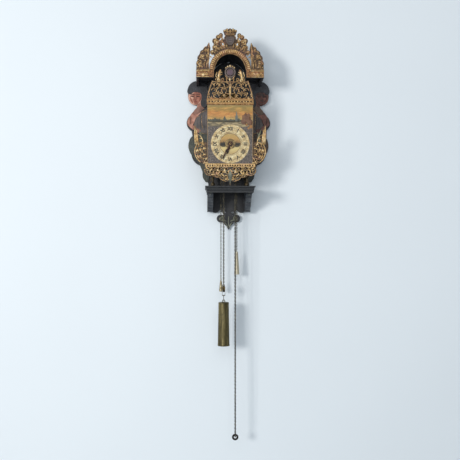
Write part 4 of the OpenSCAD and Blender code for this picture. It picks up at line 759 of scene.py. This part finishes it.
def make_village(base):
    """Houses, a church and a tower along the far bank."""
    roofs = []
    for x in range(-72, -30, 7):
        wide, tall = uniform(2.4, 4.2), uniform(5, 11)
        roofs.append(house(x, base - 2, base, wide, tall))
    church = [(-24, 0), (-22, 9), (-18, 17), (-15, 8), (-11, 3), (-12, -1)]
    roofs.append([(x, base + z) for x, z in church])
    for x, wide, tall in ((2, 4, 6), (10, 3, 5), (29, 4, 8)):
        roofs.append(house(x, base - 1, base, wide, tall))
    finished("village", cutout(roofs, DIAL_FACE, 0.3, 0.1, False), VILLAGE_PAINT, False)
    tower = [
        (17, -2), (17.4, 14), (18.6, 17), (20, 27), (21.6, 32), (23, 26), (24.6, 17), (26, 13), (27, -2)
    ]
    tower = [(x, base + z) for x, z in tower]
    finished("tower", cutout([tower], DIAL_FACE, 0.3, 0.1, False), TOWER_PAINT, False)
    tops = [(-77, -2), (-60, 1.4), (-40, 0.4), (-20, 2), (0, 0.6), (16, 1.8), (36, 0)]
    bank = hill([(x, base + z) for x, z in tops], base - 3.4)
    finished("far_bank", cutout([bank], DIAL_FACE, 0.2, 0.06), TREE_PAINT, False)


def make_grove(base):
    """Reddish trees and golden bushes on the right."""
    trunks = [(46, -3, 10), (57, 6, 12), (66, -6, 10), (51, 15, 8), (62, 18, 7), (44, 8, 5)]
    grove = [(x, base + z, r) for x, z, r in trunks]
    for i in range(34):
        angle, reach = uniform(0, 360), uniform(8, 19)
        grove.append((*polar(57, base + 6, reach, angle), uniform(1.4, 3.4)))
    finished("grove", beads(grove, DIAL_FACE, 0.05), GROVE_PAINT)
    bushes = [(70, base - 20, 6), (62, base - 25, 4), (73, base - 9, 3), (55, base - 14, 4)]
    for i in range(30):
        bushes.append((uniform(44, 74), base + uniform(-24, 22), uniform(0.9, 2.2)))
    finished("bushes", beads(bushes, DIAL_FACE, 0.06), BUSH_PAINT)


def make_boats():
    """Boats and banks in the middle of the ring."""
    sea = CENTRE.z - 1
    ships = []
    for x, tall in ((-29, 8), (-23, 12), (-17, 9), (16, 9), (22, 12), (28, 7)):
        ships.append([(x - 3.2, sea + 1), (x + 3.2, sea + 1), (x + 2.4, sea - 3), (x - 2.4, sea - 3)])
        ships.append([(x, sea + 1), (x, sea + tall), (x + 2.8, sea + 2)])
    finished("boats", cutout(ships, DIAL_FACE - 0.25, 0.3, 0.1, False), NUMERAL, False)
    wood = [(x, sea + 2 + uniform(-1.5, 2.5), uniform(2.2, 4.2)) for x in range(-31, 33, 4)]
    finished("shore_trees", beads(wood, DIAL_FACE - 0.2, 0.06), TREE_PAINT)
    banks = [
        hill([(-33, sea - 1), (-24, sea + 2), (-12, sea)], sea - 5),
        hill([(10, sea), (24, sea + 2.4), (33, sea - 1)], sea - 5)
    ]
    finished("banks", cutout(banks, DIAL_FACE - 0.15, 0.3, 0.1), TREE_PAINT, False)


def make_dial_scenes():
    """The painted landscape, from one seeded row of random draws."""
    seed(4)
    village_foot = DIAL_HIGH.z - SKY_TALL - 4
    make_village(village_foot)
    make_grove(village_foot)
    make_boats()


# Carving and castings

ARCH_R = 69
ARCH_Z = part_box("hood_moulding")[1].z / MM - ARCH_R


def make_arch_carving():
    """Gadroons between two rolls round the arch."""
    ribs = [[(*polar(0, ARCH_Z, r, a), w) for r, w in ((57.5, 1.3), (63, 2.2), (67.5, 1.2))]
            for a in range(3, 180, 6)]
    carve("arch_gadroons", ribs, HOOD_FACE, GILT_HIGHLIGHT, 0.8)
    rolls = [arc(0, ARCH_Z, r, -4, 184, w) for r, w in ((55.4, 1), (69.2, 1.2))]
    carve("arch_rolls", rolls, HOOD_FACE, GILT, 0.7)


def make_crest_carving():
    """Scrolls, leaves and the crown round a shield."""
    lines = [
        scroll(44, 26, 9.5, -60, 1.2, 2.2), scroll(31, 50, 5.6, 200, 1.1, 1.6),
        scroll(40, 43, 6.4, 20, 1.1, 1.7), scroll(52, 31, 6.4, 60, 1.1, 1.7),
        scroll(52, 9, 6.4, -30, 1.1, 1.7), scroll(60, -7, 5.6, -60, 1.1, 1.6), leaf(17, 8, 20, 22, 2.6, 20),
        leaf(16, 14, 68, 30, 2.2, -30), leaf(21, 34, 60, 20, 2.2, -40), leaf(34, 0, 14, 20, 2.4, 30),
        leaf(31, 20, 84, 24, 2, 24), leaf(26, 40, 20, 13, 1.8, 30), leaf(37, 12, 70, 16, 1.8, -40),
        leaf(46, -4, 60, 14, 1.8, 30)
    ]
    lines += [leaf(*polar(0, ARCH_Z, 73, a), a - 28, 13, 2, 24) for a in range(34, 90, 7)]
    lines += [
        [(4, 53.5, 1), (10, 54.5, 1.2), (17, 55.5, 1)], [(0, 50.5, 1), (10, 51, 1.1), (16, 51.5, 0.9)],
        [(0, 60, 1.2), (8, 61, 1.2), (15, 62.5, 1)], [(9, 56, 1.1), (10.5, 62, 1.3), (12, 69, 1)],
        leaf(19, 62, 20, 5, 1.4)
    ]
    places = [
        (44, 26, 3), (31, 50, 2.2), (40, 43, 2.4), (52, 31, 2.4), (52, 9, 2.4), (60, -7, 2.2),
        (10, 67.5, 3), (18, 64.5, 2.8), (27, 32, 2), (24, 6, 1.8), (17, 46, 2), (20, 14, 1.8),
        (28, 22, 1.6), (36, 30, 1.8), (47, 37, 1.6), (34, 6, 1.7), (45, 12, 1.7), (53, 18, 1.6),
        (36, 48, 1.6), (50, -4, 1.6), (58, 2, 1.5)
    ]
    crown = [leaf(0, 55, 90, 17, 2.4)]
    carve("crest_carving", mirrored(lines) + crown, CREST_FACE, GILT)
    finished("crest_beads", beads(both_sides(places), CREST_FACE - 0.6), GILT_HIGHLIGHT)
    shield = [[(-12.4, 40), (0, 43.5), (12.4, 40), (13, 30), (8, 20), (0, 15.5), (-8, 20), (-13, 30)]]
    finished("crest_shield", cutout(shield, CREST_FACE, 2.4, 1), SHIELD_GREY)
    bars = [[(-6, 35, 0.9), (0, 32, 1.2), (6, 35, 0.9)], [(-6, 29, 0.9), (0, 26, 1.2), (6, 29, 0.9)]]
    carve("shield_bars", bars, CREST_FACE - 2.2, MAUVE_PALE, 0.6)
    rim = [arc(0, 30.5, 15.4, 0, 360, 1.4), [(-9, 38, 0.7), (0, 40, 0.9), (9, 38, 0.7)]]
    carve("shield_rim", rim, CREST_FACE - 0.8, GILT_GROUND, 0.7)


def make_wing_carving():
    """Leaves and scrolls on the two boards beside the arch."""
    wing = [
        leaf(74, -62, 95, 82, 1.9, -4), leaf(79, -62, 84, 42, 2.2, 26), leaf(86, -60, 72, 26, 2.2, 30),
        leaf(76, -32, 66, 24, 2.2, 36), leaf(75, -12, 74, 22, 2, 30), leaf(71, 4, 84, 18, 1.8, 12),
        scroll(100, -44, 10.5, -120, 1.3, 1.9), scroll(92, -23, 8.5, -120, 1.3, 1.8),
        scroll(82, -1, 6, -120, 1.2, 1.6), leaf(103, -64, 82, 16, 2, 20),
        leaf(104, -31, 112, 16, 2, 26), leaf(98, -12, 118, 14, 1.8, 26), leaf(87, 6, 124, 10, 1.6, 26),
        leaf(92, -62, 60, 16, 1.8, -40), leaf(112, -50, 100, 14, 1.5, 10),
        [(71, -66.5, 1.2), (92, -66.5, 1.4), (113, -66.5, 1.2)]
    ]
    tips = [
        (100, -44, 2.8), (92, -23, 2.4), (82, -1, 2), (109, -58, 2), (78, -48, 1.7), (71.5, 20, 1.6),
        (94, -57, 1.7), (84, -36, 1.7), (107, -34, 1.6), (79, -18, 1.6), (98, -18, 1.5)
    ]
    carve("wing_carving", mirrored(wing), CREST_FACE, GILT)
    finished("wing_beads", beads(both_sides(tips), CREST_FACE - 0.5), GILT_HIGHLIGHT)


def make_frieze_shells():
    """A shell between two scrolls under each wing."""
    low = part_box("hood_front")[0].z / MM
    shell = [leaf(92, low + 5, 90 + k * 22, 12, 1.7) for k in range(-3, 4)]
    shell += [
        scroll(79, low + 12, 5.4, 200, 1.1, 1.4), scroll(105, low + 12, 5.4, -20, -1.1, 1.4),
        [(71, low + 2.2, 1.2), (92, low + 2.2, 1.2), (113, low + 2.2, 1.2)],
        [(71, low + 22.5, 1.2), (92, low + 22.5, 1.2), (113, low + 22.5, 1.2)]
    ]
    carve("frieze_shells", mirrored(shell), HOOD_FACE, GILT_HIGHLIGHT)


def ring_lines(holes, width, wobble=0):
    """A carved ring round each hole (x, z, radius)."""
    return [scroll(x, z, r + 1.6, 40 * i + wobble, 0.85, width, 0.9)
            for i, (x, z, r) in enumerate(holes)]


def beast_lines(x, z, side):
    """A rampant beast in strokes: body, four legs and a curled tail."""
    strokes = [
        [(-3, 8, 2.6), (-4, 16, 4), (-2, 24, 3.6), (-1, 31, 3.6), (2, 36, 2.6)],
        [(-3, 9, 2.4), (0, 5, 2), (-2, 0, 1.4), (1, -1, 1.2)],
        [(-5, 10, 2.2), (-8, 6, 1.8), (-6, 1, 1.4), (-3, 0, 1)],
        [(-1, 27, 1.8), (4, 29, 1.5), (8, 32, 1.2)], [(-1, 21, 1.8), (5, 22, 1.4), (9, 25, 1.1)],
        [(-6, 12, 1.2), (-13, 14, 1.2), (-14, 22, 1.2), (-9, 27, 1.3), (-10, 31, 1.6)]
    ]
    return [[(x + side * dx, z + dz, w) for dx, dz, w in stroke] for stroke in strokes]


DRAWN_HALF = 77


def make_crest_fret():
    """Scrolls, stem, shield and two beasts, spread from a dial of DRAWN_HALF to the real one."""
    z0 = FRET_FOOT
    spread = HALF_DIAL / DRAWN_HALF
    scrolls = [
        (12, 29, 200), (29, 29, 20), (46, 29, 250), (63, 29, 110), (20.5, 46.5, 300), (37.5, 46.5, 150),
        (54.5, 46.5, 0), (12, 64, 90), (29, 64, 220), (46, 64, 330)
    ]
    lines = []
    for x, z, turn in scrolls:
        lines.append(arc(x * spread, z, 8.6, turn, turn + 290, 1.5, 0.8))
        lines.append(leaf(x * spread, z, turn + 150, 8.6, 1.6))
    lines += [
        [(76 * spread, 21, 1.2), (73 * spread, 40, 1.9), (66 * spread, 60, 1.8), (59.5 * spread, 79, 1.3)],
        [(0, 75.5, 1.6), (30, 75.5, 1.6), (60 * spread, 75.5, 1.4)],
        [(5, 84, 1.2), (11, 89, 1.4), (17, 97, 1)], leaf(50, 62, 40, 18, 2),
        scroll(24, 84, 6.4, 230, 1.2, 1.7), scroll(46, 83, 6, 250, -1.2, 1.6),
        leaf(10, 76, 60, 18, 2.2, 30), leaf(29, 78, 60, 14, 1.8, -30)
    ]
    carve("fret_scrolls", shifted(mirrored(lines), z0), FRET_FACE, GILT)
    edges = [[(0, z, 1.2), (40, z, 1.2), (78 * spread, z, 1.2)] for z in (18.6, 1.4)]
    carve("frieze_edges", shifted(mirrored(edges), z0), FRET_FACE, GILT_WARM)
    middle = shifted([leaf(0, 19, 90, 56, 3.6), leaf(-1, 78, 90, 12, 2.6)], z0)
    carve("fret_stem", middle, FRET_FACE, GILT_HIGHLIGHT)
    places = [(*polar(x * spread, z, 8.6, turn + 290), 1.6) for x, z, turn in scrolls]
    places += [(0, 129, 3.2), (8, 127, 2.6), (14, 123, 2.2)]
    places += [(i * 10 + 5, 10, 1.8) for i in range(7)]
    places = [(x, z + z0, r) for x, z, r in both_sides(places)]
    finished("fret_beads", beads(places, FRET_FACE), GILT_HIGHLIGHT)
    beasts = beast_lines(-35, 77, 1) + beast_lines(35, 77, -1)
    carve("fret_beasts", shifted(beasts, z0), FRET_FACE, GILT_HIGHLIGHT)
    heads = [(side * 33, 77 + z0 + 37, 2.6) for side in (-1, 1)]
    finished("beast_heads", beads(heads, FRET_FACE - 1), GILT_WARM)
    shield = [(x, z + z0) for x, z in ((-8, 112), (0, 115), (8, 112), (8, 103), (0, 97), (-8, 103))]
    finished("fret_shield", cutout([shield], FRET_FACE, 1.6, 0.7), MAUVE)
    rim = [arc(0, 108 + z0, 17, 0, 360, 1.7), arc(0, 108 + z0, 11.2, 0, 360, 0.9)]
    carve("fret_shield_rim", rim, FRET_FACE, MAUVE_PALE, 0.6)


def make_side_frets():
    """A carved ring round each of the frets' holes, with stems and leaves above."""
    x0 = HALF_DIAL + 3
    holes = [
        (10, -3, 3.6), (20, -3, 3.6), (30, -5, 3), (5, -13, 3), (14, -13, 3.8), (24, -14, 3.8), (34, -15, 3),
        (9, -23, 3.6), (19, -24, 3.8), (29, -25, 3.8), (37, -27, 2.4), (5, -33, 3), (14, -34, 3.6),
        (24, -35, 3.8), (33, -36, 3), (10, -44, 3.4), (19, -45, 3.6), (28, -46, 2.8), (5, -53, 3),
        (14, -55, 3.2), (8, -61, 2.2)
    ]
    holes = [(x0 + x, CENTRE.z + z, r) for x, z, r in holes]
    carve("side_fret_rings", mirrored(ring_lines(holes, 0.9)), FRET_FACE, GILT)
    lines = [
        leaf(x0 + 37, CENTRE.z - 2, 89, 65, 3.2), leaf(x0 + 27, CENTRE.z, 82, 49, 2.8),
        arc(x0 + 19, CENTRE.z + 11, 7.6, 60, 300, 1.3, 0.8), arc(x0, CENTRE.z - 26, 40.8, -62, 42, 1.2),
        leaf(x0 + 5, CENTRE.z - 57, -70, 12, 1.8)
    ]
    lines += [leaf(x - 3, z - 2, 30 + 65 * (i % 4), 12, 2.3, 30)
              for i, (x, z, r) in enumerate(holes[::2])]
    lines += [leaf(x0 + 32, CENTRE.z - 2, 84, 52, 2, 8), leaf(x0 + 11, CENTRE.z, 96, 34, 1.8, -30)]
    carve("side_fret_stems", mirrored(lines), FRET_FACE, GILT_HIGHLIGHT)
    leaves = [leaf(x0 + 9, CENTRE.z - 6, 80, 60, 3.8, -6), leaf(x0 + 22, CENTRE.z - 2, 94, 44, 3, 10)]
    carve("side_fret_leaves", mirrored(leaves), FRET_FACE + 1, LEAF_PAINT, 0.4)
    places = [
        (15, -8), (25, -9), (9, -18), (19, -19), (29, -20), (14, -28), (24, -30), (9, -39), (19, -40),
        (9, -49), (34, -21), (27, 30)
    ]
    places = [(x0 + x, CENTRE.z + z, 1.5) for x, z in places]
    finished("side_fret_beads", beads(both_sides(places), FRET_FACE), GILT_HIGHLIGHT)


def make_bottom_fret():
    """An arcade over curls, rings and leaves, with a leafy drop in the middle."""
    z0 = LOW_FRET_TOP
    holes = [
        (77, -19, 3.6), (67, -17, 2.8), (72, -29, 3.6), (62, -27, 3.6), (67, -37, 2.4), (56, -17, 3),
        (51, -28, 3.8), (46, -17, 2.8), (40, -27, 3.6), (55, -38, 2.8), (45, -39, 3.6), (35, -18, 3.2),
        (30, -29, 3.8), (35, -42, 3.4), (24, -18, 3), (19, -28, 3.6), (25, -42, 3.8), (13, -18, 3),
        (10, -31, 3), (15, -44, 3.6), (20, -53, 2.4), (9, -54, 2)
    ]
    holes = [(x, z + z0, r) for x, z, r in holes]
    carve("bottom_fret_curls", mirrored(ring_lines(holes[::2], 0.9, 90)), LOW_FRET_FACE, GILT_HIGHLIGHT)
    lines = ring_lines(holes[1::2], 0.9, 90)
    lines += shifted([arc(68, -22, 18.8, -130, 10, 1.1), arc(42, -26, 20.8, -120, -60, 1.1),
                      arc(14, -34, 25.8, -90, -36, 1.1)], z0)
    carve("bottom_fret_rings", mirrored(lines), LOW_FRET_FACE, GILT)
    leaves = [leaf(x - 4, z, 20 + 70 * (i % 4), 13, 2.5, 30) for i, (x, z, r) in enumerate(holes[::2])]
    leaves += [leaf(x + 3, z + 3, 200 - 60 * (i % 3), 9, 1.9, -30)
               for i, (x, z, r) in enumerate(holes[1::2])]
    carve("bottom_fret_leaves", mirrored(leaves), LOW_FRET_FACE - 0.4, GILT_HIGHLIGHT)
    arcade = [[(x * 8.4 + 4.2, z0 - 1.5, 1.1), (x * 8.4 + 4.2, z0 - 10.5, 1.1)] for x in range(9)]
    arcade.append([(0, z0 - 1, 1), (40, z0 - 1, 1), (83, z0 - 1, 1)])
    carve("arcade_posts", mirrored(arcade), LOW_FRET_FACE, GILT_HIGHLIGHT)
    drop = [
        leaf(0, z0 - 22, -90, 48, 3.4), leaf(0, z0 - 26, -62, 24, 2.4, -20),
        leaf(0, z0 - 26, -118, 24, 2.4, 20), leaf(0, z0 - 40, -58, 20, 2.2, -20),
        leaf(0, z0 - 40, -122, 20, 2.2, 20), leaf(5, z0 - 22, -40, 22, 2.2, 50),
        leaf(-5, z0 - 22, -140, 22, 2.2, -50)
    ]
    carve("fret_drop", drop, LOW_FRET_FACE, DAB_PAINT)


# The painted bearers on the board


def make_bearer(tag, side, skin, head, blush, cloth, scales):
    """One fish-tailed bearer at the board's edge, in low relief; side is -1 on the left."""
    face = BOARD_FACE

    def shape(name, thick, material, outline, edge=0.8):
        outline = [(side * x, z) for x, z in outline]
        finished(f"{tag}_{name}", cutout([outline], face, thick, edge), material)

    def stroke(name, lines, front, material, flat=0.55):
        lines = [[(side * x, z, w) for x, z, w in line] for line in lines]
        carve(f"{tag}_{name}", lines, front, material, flat)

    shape("bodice", 2.2, DRESS, [
        (78, -176), (92, -178), (106, -190), (118, -212), (122, -232), (114, -250), (98, -262), (78, -262)
    ])
    shape("arm", 3.4, skin, [
        (100, -170), (112, -172), (126, -184), (139, -202), (146, -220), (142, -232), (131, -232),
        (124, -222), (118, -208), (107, -194), (99, -184)
    ])
    shape("sleeve", 4, cloth, [
        (94, -163), (106, -165), (118, -174), (124, -186), (116, -192), (106, -188), (97, -180), (91, -172)
    ])
    shape("forearm", 3, skin, [
        (130, -230), (142, -228), (134, -240), (118, -250), (104, -256), (100, -250), (114, -242)
    ])
    folds = [
        [(102, -166, 0.8), (112, -176, 1.2), (122, -192, 0.8)],
        [(110, -166, 0.7), (120, -178, 1.1), (128, -190, 0.7)],
        [(134, -206, 0.8), (139, -218, 1.2), (134, -228, 0.8)]
    ]
    stroke("folds", folds, face - 3.6, FLESH_LINE, 0.4)
    shape("tail", 2.6, scales, [
        (80, -262), (104, -264), (128, -270), (141, -292), (140, -320), (124, -346), (106, -366), (94, -392),
        (84, -420), (76, -422), (80, -392), (78, -350)
    ])
    shape("tail_fin", 3.4, SCALES, [(74, -404), (88, -398), (92, -412), (86, -426), (77, -434), (70, -424)])
    shape("neck", 2.4, skin, [(90, -148), (104, -150), (112, -166), (106, -178), (92, -176)])
    shape("head", 3.6, head, [
        (97, -114), (110, -110), (126, -110), (139, -118), (142, -132), (137, -147), (126, -156), (114, -157),
        (103, -149), (96, -134)
    ], 1.4)
    shape("hair", 5, HAIR, [
        (77, -94), (86, -82), (100, -76), (118, -75.5), (134, -84), (143, -99), (144, -116), (138, -119),
        (124, -112), (108, -112), (98, -118), (95, -134), (98, -150), (93, -164), (83, -166), (77, -140)
    ], 1.6)
    locks = []
    for i in range(8):
        x = 84 + i * 8
        locks.append([(x, -116 + abs(3 - i) * 1.5, 1.1), (x - 2, -102, 1.5), (x + 2 - i, -88, 1.2),
                      (108 + (x - 112) * 0.5, -79, 0.8)])
    locks += [
        scroll(90, -152, 8, 90, 1.4, 1.8), scroll(84, -136, 5, 30, 1.2, 1.4),
        scroll(139, -112, 4.4, 0, 1.2, 1.2)
    ]
    stroke("locks", locks, face - 4.6, HAIR)
    front = face - 3.4
    # Painted shade, as if lit from the left: over the face's inner half, then round the eyes, beside the nose
    # and under the chin; blush carries its paint. The nose stroke brings the head's own paint back over it.
    shape("face_shade", 3.9, blush, [
        (97, -116), (110, -112), (122, -114), (126, -124), (124, -134), (126, -142), (121, -152), (113, -154),
        (104, -147), (98, -134)
    ], 1.2)
    shade = [
        [(100, -127.5, 2.2), (108, -126.4, 3.6), (115, -129, 2)],
        [(123, -129, 2), (130, -126.4, 3.6), (138, -127.5, 2)],
        [(101, -130, 1.4), (102, -140, 3), (109, -150, 1.8)],
        [(138, -130, 1.8), (135, -141, 3.4), (127, -152, 2)],
        [(121.5, -130, 0.9), (123, -138, 2), (120, -143, 1.6)],
        [(111, -154.4, 1.2), (118, -155.6, 1.8), (125, -154.4, 1.2)]
    ]
    stroke("shading", shade, front - 0.3, blush, 0.25)
    stroke("nose", [[(118, -124, 0.9), (118.6, -132, 1.6), (118.8, -138.4, 2.4)]], front - 0.3, head, 0.6)
    features = [
        [(102.5, -128.8, 1.2), (108.5, -127.4, 2.7), (114, -129, 1.2)],
        [(123.5, -129, 1.2), (129, -127.4, 2.7), (134.5, -128.6, 1.2)],
        [(101, -121.6, 0.9), (108, -119.2, 1.6), (115, -122.4, 0.9)],
        [(122.5, -122.4, 0.9), (129.5, -119.2, 1.6), (136.5, -121.6, 0.9)],
        [(115, -141.2, 0.7), (118.4, -142.2, 1.1), (122, -141.2, 0.7)]
    ]
    stroke("features", features, front - 0.6, FLESH_LINE, 0.45)
    mouth = [[(111.5, -147, 0.9), (118, -148.2, 1.9), (124.5, -147, 0.9)]]
    stroke("mouth", mouth, front - 0.6, LIP_PAINT, 0.5)
    trim = [
        [(80, -178, 0.8), (94, -181, 1.1), (106, -192, 0.8)],
        [(80, -262, 0.9), (98, -262, 1.2), (113, -250, 0.8)],
        [(103, -198, 0.8), (114, -203, 1.1), (126, -197, 0.8)],
        [(96, -196, 0.6), (98, -220, 0.9), (92, -244, 0.6)]
    ]
    stroke("trim", trim, face - 2.2, GILT)
    creases = [
        [(84, -186, 1), (90, -212, 2), (86, -250, 1)],
        [(96, -190, 1), (104, -214, 2), (98, -250, 1)],
        [(108, -204, 0.9), (113, -222, 1.8), (108, -244, 0.9)]
    ]
    stroke("creases", creases, face - 2, LINE_PAINT, 0.3)
    rim = [arc(93, -304, 47.6, -60, 42, 0.9), arc(119, -222, 29, 20, 60, 0.8)]
    stroke("edge_line", rim, face, DAB_PAINT, 0.4)


def make_board_scrolls():
    """Gilt scrolls at the board's foot, and painted ones on its drop."""
    lines = [
        scroll(62, -424, 8, 160, 1.2, 1.5), leaf(68, -414, 60, 20, 1.6, 20),
        arc(62, -404, 29.4, -70, 20, 0.9, 0.8)
    ]
    carve("foot_scrolls", mirrored(lines), BOARD_FACE, GILT_GROUND)
    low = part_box("seat_cheeks")[0].z / MM
    drop = [
        scroll(26, low - 23, 10, 90, 1.2, 2.6), leaf(6, low - 34, 40, 20, 2.8, -20),
        leaf(2, low - 56, 70, 24, 2.4, -10)
    ]
    drop = mirrored(drop) + [leaf(0, low - 50, 90, 36, 2.6)]
    carve("drop_scrolls", drop, BOARD_FACE, DAB_PAINT)


# Seat

BAR_ROUND = 0.4


def bar_mesh(low, high):
    """A bar between two corners, with rounded edges."""
    shape = bmesh.new()
    bmesh.ops.create_cube(shape, size=1)
    bmesh.ops.scale(shape, vec=[h - l for l, h in zip(low, high)], verts=shape.verts)
    bmesh.ops.translate(shape, vec=[(h + l) / 2 for l, h in zip(low, high)], verts=shape.verts)
    bmesh.ops.bevel(shape, geom=shape.edges[:], offset=BAR_ROUND, affect="EDGES", segments=2, profile=0.5,
                    material=-1)
    return mesh_of(shape, "bar", MM)


def make_seat_lines():
    """Two painted lines round the cornice and rubbed dabs on the cheeks."""
    low, high = (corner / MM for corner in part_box("seat_moulding"))
    bars = []
    for drop, inset, tall in ((3.4, 0.25, 0.7), (13.2, 4.6, 0.6)):
        z = high.z - drop
        front = low.y + inset
        bars.append(bar_mesh((low.x + inset, front - 0.2, z), (high.x - inset, front + 1.2, z + tall)))
        for side in (-1, 1):
            x = side * (high.x - inset - 0.5)
            bars.append(bar_mesh((x - 0.7, front, z), (x + 0.7, high.y, z + tall)))
    finished("cornice_lines", joined(bars), LINE_PAINT, False)
    dabs = []
    x = CHEEK_HIGH.x - 10
    for drop, w in ((5, 4.2), (12, 2.6)):
        z = CHEEK_HIGH.z - drop
        for side in (-1, 1):
            dabs.append([(side * (x - w), z, 0.6), (side * x, z - 1, 1.6), (side * (x + w), z, 0.6)])
    carve("cheek_dabs", dabs, CHEEK_LOW.y, DAB_PAINT)


# Chains as single pieces

SAME_POINT = 0.00001


def make_chain(node):
    """The chain's links as one piece, in place of the imported chain, which is hidden."""
    shape = bmesh.new()
    shape.from_mesh(frame["nodes"][node].data)
    bmesh.ops.remove_doubles(shape, verts=shape.verts, dist=SAME_POINT)
    piece = placed(node + "_links", mesh_of(shape, node + "_links"), CHAIN_METAL)
    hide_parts(node)
    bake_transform(piece)


make_stage()
make_lights()
make_camera()
dress()
make_chapter_ring()
make_dial_scenes()
make_arch_carving()
make_crest_carving()
make_wing_carving()
make_frieze_shells()
make_crest_fret()
make_side_frets()
make_bottom_fret()
# The left bearer is painted lit and the right one in painted shade, with darker copies of the same paints.
make_bearer("left", -1, FLESH_LIT, FACE_LIT, FACE_SHADE_PAINT, SLEEVE, SCALES)
make_bearer("right", 1, FLESH_SHADED, FLESH_SHADED, FACE_SHADE_DEEP, SLEEVE_SHADED, SCALES_WARM)
make_board_scrolls()
make_seat_lines()
make_chain("weight_chain")
make_chain("ring_chain")
make_chain("alarm_weight_chain")
make_chain("counterweight_chain")
